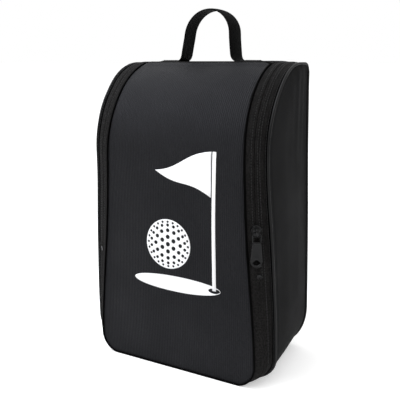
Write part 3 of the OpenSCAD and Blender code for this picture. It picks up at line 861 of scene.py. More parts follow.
def front_point(across, run, half=None, end=None):
    """Point on the front panel at x = across and the length run up from the floor, round the roof curve.
    It stands out by a crown that falls off towards its edges and by soft waves, and dips into its seam."""
    s, f = bag(), soft()
    top = front_height()
    angles, lengths = roof_lengths()
    b = np.interp(run - top, lengths, angles)
    y, z, ny, nz = roof(b)
    z = np.where(run < top, run, z)
    half = half_w(z) if half is None else half
    end = front_length() if end is None else end
    edge = np.minimum(np.minimum(half - np.abs(across), run), end - run)
    share_in = np.clip(edge / (s.front_bottom / 2), 0, 1)
    out = f.front_crown * ease(share_in * 1.15)
    out = out + f.ripple * waves(across * 0.8, run * 0.7) * ease(edge / 0.02)
    out = out + f.end_roll * hill(end - run, 0.006, 0.0045) * ease((half - np.abs(across)) / 0.008)
    out = out - f.tuck * np.exp(-np.clip(edge, 0, 1) / 0.0016)
    return points(across, y + out * ny, z + out * nz)


def front_half(run):
    """Half the front panel's width at each length up from the floor, round its bottom corners."""
    s = bag()
    angles, lengths = roof_lengths()
    top = front_height()
    _, z, _, _ = roof(np.interp(run - top, lengths, angles))
    z = np.where(run < top, run, z)
    r = s.front_corner
    corner = r - np.sqrt(np.clip(r * r - np.clip(r - z, 0, r) ** 2, 0, None))
    return half_w(z) - corner


def build_front_panel():
    s = bag()
    end = front_length()
    run = np.concatenate([SEAM_INSET + s.front_corner * (1 - np.cos(np.linspace(0, math.pi / 2, 12)[:-1])),
                          np.linspace(SEAM_INSET + s.front_corner, end - 0.006, 118)[:-1],
                          end - SEAM_INSET - 0.0052 * np.linspace(1, 0, 9)])
    half = front_half(run) - SEAM_INSET
    t = np.sin(np.linspace(-1, 1, 91) * math.pi / 2)
    t = mix(t, np.linspace(-1, 1, 91), 0.45)
    across = half[:, None] * t[None]
    up = run[:, None] + 0 * across
    grid = front_point(across, up, half[:, None] + SEAM_INSET, end)
    uv = np.stack([across, up], -1)
    verts, faces, place = sheet_arrays(grid, s.panel, uv)
    panel = make_object("front_panel", verts, faces, place)
    place_piece(panel, material_named("ribbed_nylon"), blend=fold_blend(),
                replaces=["front_panel_lower", "flap_panel"])


def outline_curve(name, loops):
    """Flat filled shape from closed outlines in the XZ plane; an outline inside another is a hole. It is cut
    into small faces, so that it can follow a curved surface."""
    curve = bpy.data.curves.new(name, "CURVE")
    curve.dimensions = "2D"
    curve.fill_mode = "BOTH"
    for loop in loops:
        spline = curve.splines.new("POLY")
        spline.points.add(len(loop) - 1)
        flat = np.concatenate([loop, np.zeros((len(loop), 1)), np.ones((len(loop), 1))], axis=1)
        spline.points.foreach_set("co", flat.astype(np.float32).ravel())
        spline.use_cyclic_u = True
    holder = bpy.data.objects.new(name, curve)
    mesh = bpy.data.meshes.new_from_object(holder)
    bpy.data.objects.remove(holder)
    work = bmesh.new()
    work.from_mesh(mesh)
    bpy.data.meshes.remove(mesh)
    bmesh.ops.remove_doubles(work, verts=work.verts, dist=1e-6)
    for axis in (0, 1):
        low, high = (f(v.co[axis] for v in work.verts) for f in (min, max))
        cell = 0.006
        for cut in np.arange(low, high, cell)[1:]:
            place = (cut, 0, 0) if axis == 0 else (0, cut, 0)
            normal = (1, 0, 0) if axis == 0 else (0, 1, 0)
            bmesh.ops.bisect_plane(work, geom=work.verts[:] + work.edges[:] + work.faces[:],
                                   plane_co=place, plane_no=normal, dist=1e-7)
    bmesh.ops.triangulate(work, faces=work.faces)
    verts = np.array([v.co[:] for v in work.verts])
    faces = np.array([[v.index for v in f.verts] for f in work.faces])
    work.free()
    return verts, faces


def circle(x, z, r, count=96, squash=1.0):
    turn = np.linspace(0, 2 * math.pi, count, endpoint=False)
    return np.stack([x + r * np.cos(turn), z + r * squash * np.sin(turn)], -1)


def print_piece(name, loops, replaces=()):
    """Printed shape laid on the front panel: the flat shape's x and z become the place across and the length
    up the panel, with the print's thickness between two copies."""
    verts, faces = outline_curve(name, loops)
    flat = verts[:, :2]
    motif = bpy.context.scene.shoe_bag_print
    lift = motif.lift
    flat = flat + np.array([motif.offset, 0])
    on = front_point(flat[:, 0], flat[:, 1])
    step = 1e-4
    x, run = flat.T
    normal = unit(np.cross(front_point(x + step, run) - on, front_point(x, run + step) - on))
    if normal[:, 1].sum() > 0:
        normal = -normal
    side = np.cross(on[faces[:, 1]] - on[faces[:, 0]], on[faces[:, 2]] - on[faces[:, 0]])
    faces = np.where((np.sum(side * normal[faces[:, 0]], axis=1) < 0)[:, None], faces[:, ::-1], faces)
    obj = make_object(name, on + lift * normal, faces, flat)
    thick = obj.modifiers.new("thickness", "SOLIDIFY")
    thick.thickness = lift
    thick.offset = -1
    place_piece(obj, material_named("white_ink"), blend=fold_blend(), replaces=replaces)


def build_print():
    s, p = bag(), bpy.context.scene.shoe_bag_print
    low = s.fold + 0.002
    left, right = p.stick_x, p.stick_x + p.stick_w
    stick = np.array([[left, p.green_z], [right, p.green_z], [right, p.flag_top], [left, p.flag_top]])
    print_piece("print_flagstick", [stick])
    side = np.linspace(0, 1, 24)
    wave = 0.0022 * np.sin(side * 2 * math.pi)
    reach = left - p.flag_len * side - 0.0012
    upper = np.stack([reach, p.flag_top - p.flag_drop / 2 * side + wave], -1)
    lower = np.stack([reach, p.flag_top - p.flag_drop * (1 - side / 2) + wave], -1)
    print_piece("print_flag", [np.concatenate([upper, lower[-2::-1]])], ["front_print"])
    middle = low + p.ball_r
    dimples = []
    for ring in range(p.dimples + 1):
        count = max(1, 6 * ring)
        turn = (np.arange(count) + 0.5 * (ring % 2)) * 2 * math.pi / count
        reach = p.ball_r * math.sin(ring / (p.dimples + 0.9) * math.pi / 2) * 0.94
        size = 0.0021 * math.sqrt(max(0.12, 1 - (reach / p.ball_r) ** 2)) + 0.0004
        dimples += [circle(p.ball_x + reach * math.cos(a), middle + reach * math.sin(a), size, 20)
                    for a in turn]
    print_piece("print_ball", [circle(p.ball_x, middle, p.ball_r)] + dimples)
    green = circle(p.ball_x / 2, p.green_z, p.green_w / 2, 96, p.green_h / p.green_w)
    hole = circle((left + right) / 2, p.green_z, 0.0065, 32, 0.42)
    print_piece("print_green", [green, hole], ["front_print_lower"])


# ---- zip band ----

def band_grid(q, w, ridge=None):
    """Grid on the band, lifted by soft waves; ridge gives an extra height for each w."""
    grid = band(q[:, None], w[None])
    normal, _ = grid_normals(grid)
    lift = 0.0002 * waves(grid[..., 2:3] * 1.3, w[None, :, None] * 0.05)
    if ridge is not None:
        lift = lift + ridge[None, :, None]
    return grid + lift * normal


def band_uv(q, w):
    """Cloth place on the band: across by w, along by the length of the band's middle line."""
    path = band(q, 0.5)
    run = run_along(path)
    return np.stack(np.broadcast_arrays(w[None] * bag().band, run[:, None]), -1)


def band_edge(r):
    return r / bag().band


def strip_arrays(first, last, low, high, columns, ridge, thickness, step=0.0025):
    q = even_rows(first, last, (low + high) / 2, step)
    w = np.linspace(low, high, columns)
    return sheet_arrays(band_grid(q, w, ridge(w)), thickness, band_uv(q, w))


def on_side(arrays, sign):
    """Vertices, faces and cloth places of a right-hand piece, or of its mirror image when sign is -1."""
    verts, faces, place = arrays
    return verts * np.array([sign, 1.0, 1.0]), faces if sign > 0 else faces[:, ::-1], place


def tape_ridge(w):
    """Height across the band: the tapes' folded edges rise beside the slit, the tape's outer edge is a low
    step, and both seams dip."""
    s, t = bag(), trim()
    at = w * s.band
    zip_at = t.zip_line * s.band
    edge_at = t.tape_edge * s.band
    return (0.00040 * hill(np.abs(at - zip_at), 0.0012, 0.0009) - 0.00030 * hill(at, zip_at, 0.00045)
            + 0.00035 * ease((edge_at - at) / 0.0006) - 0.6 * soft().groove * np.exp(-at / 0.0014)
            - soft().groove * np.exp(-(s.band - at - t.side_piping) / 0.0013))


def build_band():
    s, t = bag(), trim()
    low, high = band_edge(t.front_piping * 0.6), 1 - band_edge(t.side_piping * 0.6)
    gap = band_edge(t.slit / 2)
    q = even_rows(0, 3, 0.5, 0.0025)
    beside_zip = t.zip_line + band_edge(np.array([-0.0003, 0.0003]))
    w = np.sort(np.concatenate([np.linspace(low, high, 40), beside_zip]))
    right = band_grid(q, w, tape_ridge(w))
    uv = band_uv(q, w)
    whole = np.concatenate([mirrored(right)[:0:-1], right])
    uv = np.concatenate([uv[:0:-1] * np.array([1, -1]), uv])
    gusset = make_object("gusset_lower_band", *sheet_arrays(whole, s.tape, uv))
    place_piece(gusset, material_named("herringbone_tape"), "shell", replaces=["gusset_lower"])
    end = 4 + (flap_end_angle() + 0.0045 / s.roof_run) / (math.pi / 2)
    for side, sign in (("left", -1), ("right", 1)):
        strip = strip_arrays(3, end, low, t.zip_line - gap, 18, tape_ridge, s.tape)
        tape = make_object(f"zip_tape_flap_{side}_band", *on_side(strip, sign))
        place_piece(tape, material_named("herringbone_tape"), blend=fold_blend(),
                    replaces=[f"zip_tape_flap_{side}"])
        strip = strip_arrays(3, 5.99, t.zip_line + gap, high, 24, tape_ridge, s.tape)
        tape = make_object(f"zip_tape_body_{side}_band", *on_side(strip, sign))
        place_piece(tape, material_named("herringbone_tape"), "shell",
                    replaces=[f"zip_tape_body_{side}"])


def roof_strip(y0, y1, half, columns=90, rows=6, lift=0.0):
    """Grid across the roof curve between two depths from the front plane. Beyond the front panel's width it
    slopes down with the band."""
    s = bag()
    y = np.linspace(y0, y1, rows)
    b = np.arccos(np.clip(1 - y / s.roof_run, 0, 1))
    py, pz, ny, nz = roof(b)
    x = np.linspace(-half, half, columns)
    fall = np.clip(np.abs(x) - half_w(s.height), 0, None) * math.tan(slant(s.height))
    return points(x[None], (py + lift * ny)[:, None], (pz + lift * nz)[:, None] - fall[None])


def build_roof_tapes():
    s, t = bag(), trim()
    start = s.flap_end + t.front_piping * 0.6
    slit_at = roof_slit()
    half = half_w(s.height) + 0.0005
    zip_half = half_w(s.height) + t.zip_line * s.band * math.cos(slant(s.height)) + 0.0004
    for name, y0, y1, across, body, node in (
            ("zip_tape_flap_across", start, slit_at - t.slit / 2, half, "flap", "zip_tape_flap_top"),
            ("zip_tape_body_across", slit_at + t.slit / 2, slit_at + 0.004, zip_half, "shell",
             "zip_tape_body_top")):
        grid = roof_strip(y0, y1, across)
        uv = np.stack([grid[..., 1] - grid[0, 0, 1] + s.band / 2, grid[..., 0]], -1)
        tape = make_object(name, *sheet_arrays(grid, s.tape, uv))
        place_piece(tape, material_named("herringbone_tape"), body, replaces=[node])


def coil_arrays(path, out, across, pitch):
    """Continuous coil along a path: at turn angle a it stands wide*cos(a) across and high*sin(a) out from the
    path, with a thin thread round that line."""
    wide, high, thread = 0.0011, 0.0006, 0.00027
    run = run_along(path)
    per_turn = 9
    count = int(run[-1] / pitch * per_turn)
    at = np.linspace(0, run[-1], count)
    a = 2 * math.pi * at / pitch
    outward = unit(read_off(at, run, out))
    line = (read_off(at, run, path) + wide * np.cos(a)[:, None] * unit(read_off(at, run, across))
            + high * np.sin(a)[:, None] * outward)
    return tube_arrays(line, thread, COIL_SIDES, hint=outward + 0.3)


def build_coils():
    s, t = bag(), trim()
    angle_end = flap_end_row()
    slit_at = roof_slit()
    depth = s.tape + 0.0011
    for name, sign, body, node in (("coil_flap_side", -1, "flap", "zip_coil_flap"),
                                   ("coil_body_side", 1, "shell", "zip_coil_body")):
        w = t.zip_line + sign * band_edge(COIL_GAP)
        q = even_rows(3.01, angle_end, w, 0.002)
        right = band(q, w)
        across = band(q, w + 0.05) - right
        normal = away(unit(np.cross(np.gradient(right, axis=0), across)), right)
        right = right - depth * normal
        y = slit_at + sign * COIL_GAP
        over = roof_strip(y, y + 1e-4, half_w(s.height), 80, 2, -depth)
        top = over[0][::-1]
        top_out = np.tile([[0.0, 0.3, 1.0]], (len(top), 1))
        top_across = np.tile([[0.0, 1.0, 0.0]], (len(top), 1))
        path = np.concatenate([right, top, mirrored(right)[::-1]])
        out = np.concatenate([normal, top_out, mirrored(normal)[::-1]])
        side = np.concatenate([across, top_across, mirrored(across)[::-1]])
        verts, faces, place = coil_arrays(path, out, side, t.coil_pitch)
        caps = tube_caps(len(verts) // COIL_SIDES, COIL_SIDES)
        coil = make_object(name, verts, [faces] + caps, place)
        place_piece(coil, material_named("coil_nylon"), body, replaces=[node])


# ---- piping ----

def floor_clear(path, radius):
    """Keeps a piping's middle line its radius above the floor."""
    return np.concatenate([path[:, :2], np.maximum(path[:, 2:], radius)], axis=1)


def build_front_piping():
    t = trim()
    angle_end = flap_end_row()
    path = seam_path(0, 0, angle_end)
    span = path[-1, 0]
    over = np.linspace(span, -span, int(2 * span / 0.0015))[1:-1]
    across = points(over, path[-1, 1], path[-1, 2])
    loop = relaxed(np.concatenate([path, across]), 5, closed=True)
    loop = floor_clear(loop, t.front_piping)
    piping = tube("front_piping", loop, t.front_piping, 12, closed=True)
    place_piece(piping, material_named("dull_cord"), blend=fold_blend(),
                replaces=["piping_front_lower", "piping_flap"])


def back_outline(inset=0.0, rows=160):
    """Right half of the back panel's edge: from the middle of the floor round the bottom corner and up to the
    start of the roof rounding, as x and z."""
    s = bag()
    a = np.linspace(-math.pi / 2, 0, 30)
    z = s.side_corner_back * (1 + np.sin(a))
    x = side_x(z) - s.side_corner_w * (1 - np.cos(a)) - inset * np.cos(a)
    corner = np.stack([x, z - inset * np.sin(a)], -1)
    zu = np.linspace(s.side_corner_back, s.height - s.rear_round, rows)[1:]
    upright = np.stack([side_x(zu) - inset, zu], -1)
    return np.concatenate([corner, upright])


def build_side_piping():
    t = trim()
    loop = relaxed(floor_clear(seam_path(1, 0, 5.9), t.side_piping), 3)
    side = tube("side_piping", loop, t.side_piping, 12)
    place_piece(side, material_named("satin_piping"), "shell", replaces=["piping_side"])
    edge = back_outline()
    floor = np.linspace(0, edge[0, 0], 60)[:-1]
    s = bag()
    c = np.linspace(0, math.pi / 2, 14)[1:-1]
    drop = s.band * math.sin(slant(s.height))
    over = points(side_x(s.height), BACK_Y - s.rear_round * (1 - np.cos(c)),
                  s.height - s.rear_round + (s.rear_round - drop) * np.sin(c))
    on_roof = points(side_x(s.height), BACK_Y - s.rear_round - np.array([0.0, 0.0015, 0.003]),
                     s.height - drop)
    upright = points(edge[:, 0], BACK_Y, edge[:, 1])
    right = np.concatenate([points(floor, BACK_Y, 0.0), upright, over, on_roof])
    path = floor_clear(np.concatenate([mirrored(right)[:0:-1], right]), t.side_piping)
    back = tube("back_piping", relaxed(path, 3), t.side_piping, 12)
    place_piece(back, material_named("satin_piping"), "shell", replaces=["piping_back"])


# ---- sides, back, bottom and roof ----

def side_grid(columns=70):
    """Right side panel. Its rows run from the side seam straight back to the back seam. It stands out by a
    crown, by a roll along its front edge and by creases that run down from its top rear corner, and its
    edges dip into the seams."""
    s, f = bag(), soft()
    q = even_rows(1, 4.999, 1.0, 0.0026)
    front = band(q, 1.0)
    t = [np.clip(q - k, 0, 1) for k in range(5)]
    a = (t[1] - 1) * math.pi / 2
    zb = s.side_corner_back * (1 + np.sin(a))
    z_up = np.where(q < 4, mix(s.side_corner_back, front_height(), (t[2] + t[3]) / 2), front[:, 2])
    low = q < 2
    z = np.where(low, zb, z_up)
    drop = s.band * math.sin(slant(s.height))
    past = np.clip((z - s.height + s.rear_round) / (s.rear_round - drop), 0, 1)
    back_y = BACK_Y - s.rear_round * (1 - np.sqrt(1 - past ** 2))
    back_x = np.where(low, side_x(zb) - s.side_corner_w * (1 - np.cos(a)), side_x(z))
    back = points(back_x, back_y, z)
    v = np.linspace(0, 1, columns) ** 1.25
    reach = np.linalg.norm(back - front, axis=1)[:, None]
    v = (SEAM_INSET + v[None] * (reach - 2 * SEAM_INSET)) / reach
    grid = mix(front[:, None], back[:, None], v[..., None])
    normal, _ = grid_normals(grid)
    near, far = v * reach, (1 - v) * reach
    upright = ease((grid[..., 2] - 0.02) / 0.06)
    out = f.side_crown * ease(np.minimum(near, far) / 0.04) * upright
    out = out + f.ripple * waves(grid[..., 1] * 0.7, grid[..., 2] * 0.6) * ease(np.minimum(near, far) / 0.015)
    out = out + f.welt * hill(near, 0.0030, f.welt_w) - 0.4 * f.welt * hill(near, 0.0065, 0.0016)
    out = out - f.tuck * (np.exp(-near / 0.0011) + np.exp(-far / 0.0014))
    height = ease((grid[..., 2] - 0.20) / 0.09)
    fold = np.sin(2 * math.pi * far / 0.016 + 9 * (grid[..., 2] - 0.3)) * hill(far, 0.030, 0.020)
    out = out + f.crease * height * fold
    return grid + out[..., None] * normal, np.stack([near, 0 * near + grid[:, :1, 2]], -1)


def build_sides():
    s = bag()
    grid, uv = side_grid()
    for name, sign in (("left", -1), ("right", 1)):
        sheet = on_side(sheet_arrays(grid, s.panel, uv), sign)
        panel = make_object(f"side_panel_{name}_cloth", *sheet)
        place_piece(panel, material_named("plain_nylon"), "shell",
                    replaces=[f"side_panel_{name}"])


def build_back():
    """Back panel: rows up its edge and round into the roof, columns straight across, with a crown and
    waves."""
    s, f = bag(), soft()
    edge = back_outline(SEAM_INSET)
    c = np.linspace(0, math.pi / 2, 12)[1:]
    t = np.sin(np.linspace(-1, 1, 81) * math.pi / 2)
    t = mix(t, np.linspace(-1, 1, 81), 0.5)
    lower = points(edge[:, :1] * t[None], BACK_Y, edge[:, 1:] + SEAM_INSET)
    top_half = side_x(s.height - s.rear_round) - SEAM_INSET
    share_in = half_w(s.height) / side_x(s.height)
    drop = s.band * math.sin(slant(s.height)) * np.clip((np.abs(t) - share_in) / (1 - share_in), 0, 1)
    upper = points(top_half * t[None], (BACK_Y - s.rear_round * (1 - np.cos(c)))[:, None],
                   s.height - s.rear_round + (s.rear_round - drop[None]) * np.sin(c)[:, None])
    grid = np.concatenate([lower, upper])
    normal, _ = grid_normals(grid)
    near = np.minimum((1 - np.abs(t))[None] * np.abs(grid[:, -1:, 0]), grid[..., 2])
    out = f.back_crown * ease(near / 0.06) * ease((s.height - grid[..., 2]) / 0.04)
    out = out + f.ripple * waves(grid[..., 0] * 0.8, grid[..., 2] * 0.7) * ease(near / 0.02)
    out = out - f.tuck * np.exp(-near / 0.0014)
    grid = grid + out[..., None] * normal
    uv = np.stack([grid[..., 0], 0 * grid[..., 0] + flat_uv(grid)[..., 1]], -1)
    panel = make_object("back_panel_cloth", *sheet_arrays(grid, s.panel, uv))
    place_piece(panel, material_named("ribbed_nylon"), "shell", replaces=["back_panel"])


def build_bottom():
    """Bottom panel, flat on the floor with its edges a little raised, and the board that lies on it."""
    s = bag()
    low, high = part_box("bottom_panel")
    x = np.linspace(low.x, high.x, 60)
    y = np.linspace(low.y - 0.001, high.y + 0.001, 30)
    edge = np.minimum(np.minimum(x - x[0], x[-1] - x)[:, None], np.minimum(y - y[0], y[-1] - y)[None])
    grid = points(x[:, None], y[None], 0.0001 + 0.0006 * np.exp(-edge / 0.002))
    panel = make_object("bottom_panel_cloth", *sheet_arrays(grid, s.panel))
    place_piece(panel, material_named("plain_nylon"), "shell", replaces=["bottom_panel"])
    low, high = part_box("base_board")
    r, bevel = 0.008, 0.0005
    corners = [(sx * (high.x - r), mix(low.y, high.y, 0.5) + sy * ((high.y - low.y) / 2 - r), r)
               for sx in (-1, 1) for sy in (-1, 1)]
    full = hull_outline(corners, 96)
    slim = hull_outline([(cx, cy, r - bevel) for cx, cy, r in corners], 96)
    heights = [(slim, low.z + 0.0004), (full, low.z + 0.0004 + bevel), (full, high.z - bevel), (slim, high.z)]
    verts, faces = loft([points(o[:, 0], o[:, 1], z) for o, z in heights])
    board = outward_faces(make_object("stiffener_board", verts, faces))
    place_piece(board, material_named("base_plastic"), "shell", replaces=["base_board"])


def build_roof_panel():
    """Roof panel behind the zip: flat in the middle, sloping down at both sides to the band, with its front
    edge on the end of the roof curve."""
    s, t = bag(), trim()
    y = np.linspace(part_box("roof_rear_panel")[0].y, BACK_Y - s.rear_round, 24)
    b = np.arccos(np.clip(1 - (y - FRONT_Y) / s.roof_run, 0, 1))
    z = roof(b)[1]
    flat = half_w(s.height)
    reach = (t.zip_line * s.band - t.slit) * math.cos(slant(s.height))
    x = np.concatenate([np.linspace(-flat - reach, -flat, 10)[:-1], np.linspace(-flat, flat, 70),
                        np.linspace(flat, flat + reach, 10)[1:]])
    fall = np.clip(np.abs(x) - flat, 0, None) * math.tan(slant(s.height))
    grid = points(x[None], y[:, None], z[:, None] - fall[None])
    edge = np.minimum((y - y[0])[:, None], (x[-1] - np.abs(x))[None])
    behind = ease((y - y[0] - 0.002) / 0.006) * ease((y[-1] - y) / 0.004)
    grid[..., 2] -= soft().sag * behind[:, None] * ease(edge / 0.004) + 0.0005 * np.exp(-edge / 0.001)
    grid[..., 2] += 0.0002 * waves(grid[..., 0], grid[..., 1]) * behind[:, None]
    panel = make_object("roof_panel_cloth", *sheet_arrays(grid, s.panel))
    place_piece(panel, material_named("ribbed_nylon"), "shell", replaces=["roof_rear_panel"])


# ---- handle ----

def handle_middle():
    low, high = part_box("handle_webbing")
    return (low.x + high.x) / 2


def handle_line(step=0.0008):
    """Middle line of the webbing in the XZ plane: in along the left foot, round a bend, up the leg, over a
    half circle and down the same way on the right, leaning a little to the right at its top."""
    s, t = bag(), trim()
    floor = s.height + t.webbing_t / 2 - soft().sag
    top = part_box("handle_webbing")[1].z - t.webbing_t / 2 - 0.0022
    r = t.leg - 0.003
    foot = np.array([[t.foot_end, floor], [t.leg + t.bend, floor]])
    a = np.linspace(-math.pi / 2, -math.pi, 12)
    bends = np.stack([t.leg + t.bend * (1 + np.cos(a)), floor + t.bend * (1 + np.sin(a))], -1)
    a = np.linspace(0, math.pi / 2, 24)
    arch = np.stack([r * np.cos(a), top - r + r * np.sin(a)], -1)
    half = np.concatenate([foot, bends[1:], arch])
    line = np.concatenate([half, half[-2::-1] * np.array([-1, 1])])
    run = run_along(line)
    at = np.arange(0, run[-1], step)
    line = relaxed(read_off(at, run, line), 9)
    line[:, 0] += handle_middle() + t.lean * ease((line[:, 1] - floor) / (top - floor))
    return line[::-1]


def build_handle():
    """Webbing: a flat section with rounded edges carried along the handle's line, and its box stitches."""
    s, t = bag(), trim()
    line = handle_line()
    tangent = unit(np.gradient(line, axis=0))
    normal = np.stack([-tangent[:, 1], tangent[:, 0]], -1)
    sides = 44
    turn = np.linspace(0, 2 * math.pi, sides, endpoint=False)
    across = np.sign(np.cos(turn)) * np.abs(np.cos(turn)) ** 0.28 * t.webbing_w / 2
    thick = np.sign(np.sin(turn)) * np.abs(np.sin(turn)) ** 0.45 * t.webbing_t / 2
    cup = 0.0006 * (1 - (across / (t.webbing_w / 2)) ** 2)
    twist = np.where(line[:, 0] > handle_middle(), 0.0016, 0.0006) * np.abs(normal[:, 0])
    twist = relaxed(twist[:, None], 15) * across[None] / (t.webbing_w / 2)
    grid = points((line[:, 0, None] + normal[:, 0, None] * (thick + cup)[None] + twist),
                  HINGE[1] + across[None],
                  (line[:, 1, None] + normal[:, 1, None] * (thick + cup)[None]))
    run = run_along(line)
    uv = np.stack(np.broadcast_arrays(across[None], run[:, None]), -1)
    rows = len(line)
    faces = [quads(rows, sides, close_cols=True)] + tube_caps(rows, sides)
    handle = outward_faces(make_object("carry_handle", grid.reshape(-1, 3), faces, uv.reshape(-1, 2), 60))
    low = (0, HINGE[1], s.height + 0.002)
    high = (0, HINGE[1], HINGE[2] + 0.012)
    place_piece(handle, material_named("woven_webbing"), blend=("shell", "handle", low, high),
                replaces=["handle_webbing", "handle_foot_left", "handle_foot_right"])
    inset = 0.003
    x0, x1 = t.leg + t.bend + 0.001, t.foot_end - inset
    y0, y1 = HINGE[1] - t.webbing_w / 2 + inset, HINGE[1] + t.webbing_w / 2 - inset
    corners = [((x0, y0), (x1, y0)), ((x1, y0), (x1, y1)), ((x1, y1), (x0, y1)), ((x0, y1), (x0, y0)),
               ((x0, y0), (x1, y1)), ((x1, y0), (x0, y1))]
    height = s.height + t.webbing_t - soft().sag + 0.0006
    paths = []
    for sign in (-1, 1):
        for a, b in corners:
            x = handle_middle() + sign * np.linspace(a[0], b[0], 12)
            path = points(x, np.linspace(a[1], b[1], 12), height)
            paths.append((path, np.tile([[0.0, 0.0, 1.0]], (12, 1))))
    box = stitches("handle_box_stitches", paths)
    place_piece(box, material_named("sewing_thread"), "shell", replaces=["foot_stitching"])


# ---- slider ----

def slider_axes():
    """Directions on the band at the slider: across, out and up along the zip."""
    up = np.array(JOINTS["zip_slide"]["axis"])
    across = -np.array(JOINTS["pull_swing"]["axis"])
    out = unit(np.cross(up, across))
    if out[1] > 0:
        out = -out
    across = unit(np.cross(out, up))
    if across[0] < 0:
        across = -across
    return across, out, up


def slider_middle():
    """Where the slider sits: on the zip line at its height."""
    s, t = bag(), trim()
    share_up = (t.slider_z - s.fold) / (front_height() - s.fold)
    return mix(band(3.0, t.zip_line), band(4.0, t.zip_line), share_up)


def upright_axes(turn, sign=1):
    """Directions across, out and up for a piece turned about the upright, mirrored when sign is -1."""
    c, s = math.cos(turn), math.sin(turn)
    return np.array([sign * c, s, 0.0]), np.array([sign * s, -c, 0.0]), np.array([0.0, 0.0, 1.0])


def on_axes(origin, axes, x, out, up):
    """Points given across, out and up from an origin."""
    a, o, u = axes
    x, out, up = np.broadcast_arrays(np.asarray(x, float), np.asarray(out, float), np.asarray(up, float))
    return origin + x[..., None] * a + out[..., None] * o + up[..., None] * u


def plate_solid(name, origin, axes, outline, levels, drape=False):
    """Solid plate: its outline scaled and moved out, level by level, from (share of size, height)."""
    x, up = outline.T
    verts, faces = loft([on_axes(origin, axes, mix(x.mean(), x, k), h, mix(up.mean(), up, k))
                         for k, h in levels])
    return outward_faces(make_object(name, verts, faces, smooth_angle=50, drape=drape))


def slider_shift():
    """How far the slack moves the zip line at the slider, along the band's width."""
    at = slider_middle()
    return float(slack(at[0], at[1], at[2])) * slider_axes()[0][0]


def slider_outline():
    """Crown of the slider: a wide round head that narrows to its foot."""
    t = trim()
    wide, tall = t.slider_w / 2, t.slider_len / 2
    return hull_outline([(0, tall - wide * 0.92, wide * 0.92), (-wide * 0.55, tall - 0.0048, 0.0024),
                         (wide * 0.55, tall - 0.0048, 0.0024), (-wide * 0.42, 0.0018 - tall, 0.0018),
                         (wide * 0.42, 0.0018 - tall, 0.0018)], 80)


def build_slider():
    t = trim()
    axes = slider_axes()
    origin = slider_middle() + slider_shift() * axes[0]
    metal = material_named("black_enamel")
    crown = [(0.90, -0.0008), (1.0, -0.0006), (1.0, 0.0010), (0.985, 0.0014), (0.93, 0.0017), (0.86, 0.0017),
             (0.80, 0.0014), (0.74, 0.0013), (0.66, 0.0015), (0.4, 0.0018), (0.15, 0.0019)]
    plate = plate_solid("slider_plate", origin, axes, slider_outline(), crown)
    place_piece(plate, metal, "slider", replaces=["slider_body"])
    a = np.linspace(0, math.pi, 40)
    reach, rise = 0.0040, 0.0030
    arch = on_axes(origin, axes, 0.0, 0.0016 + rise * np.sin(a) ** 0.7, -0.0010 + reach * np.cos(a))
    width = 0.0008 + 0.0006 * np.sin(a) ** 2
    bridge = tube("slider_bridge", arch, width, 14, hint=axes[0], drape=False)
    place_piece(bridge, metal, "slider")
    post = hull_outline([(0, 0.0012, 0.00018), (0, 0.0042, 0.00018)], 24)
    stem = plate_solid("slider_post", origin, axes, post, [(1, -0.0044), (1, 0.0012)])
    place_piece(stem, metal, "slider")
    inner = hull_outline([(x, end * (t.slider_len / 2 - 0.0024), 0.001)
                          for x in (-t.slider_w / 2 + 0.0016, -0.0008) for end in (-1, 1)], 48)
    back = plate_solid("slider_inner_plate", origin, axes, inner,
                       [(0.9, -0.0052), (1, -0.0050), (1, -0.0045), (0.9, -0.0043)])
    place_piece(back, metal, "slider")


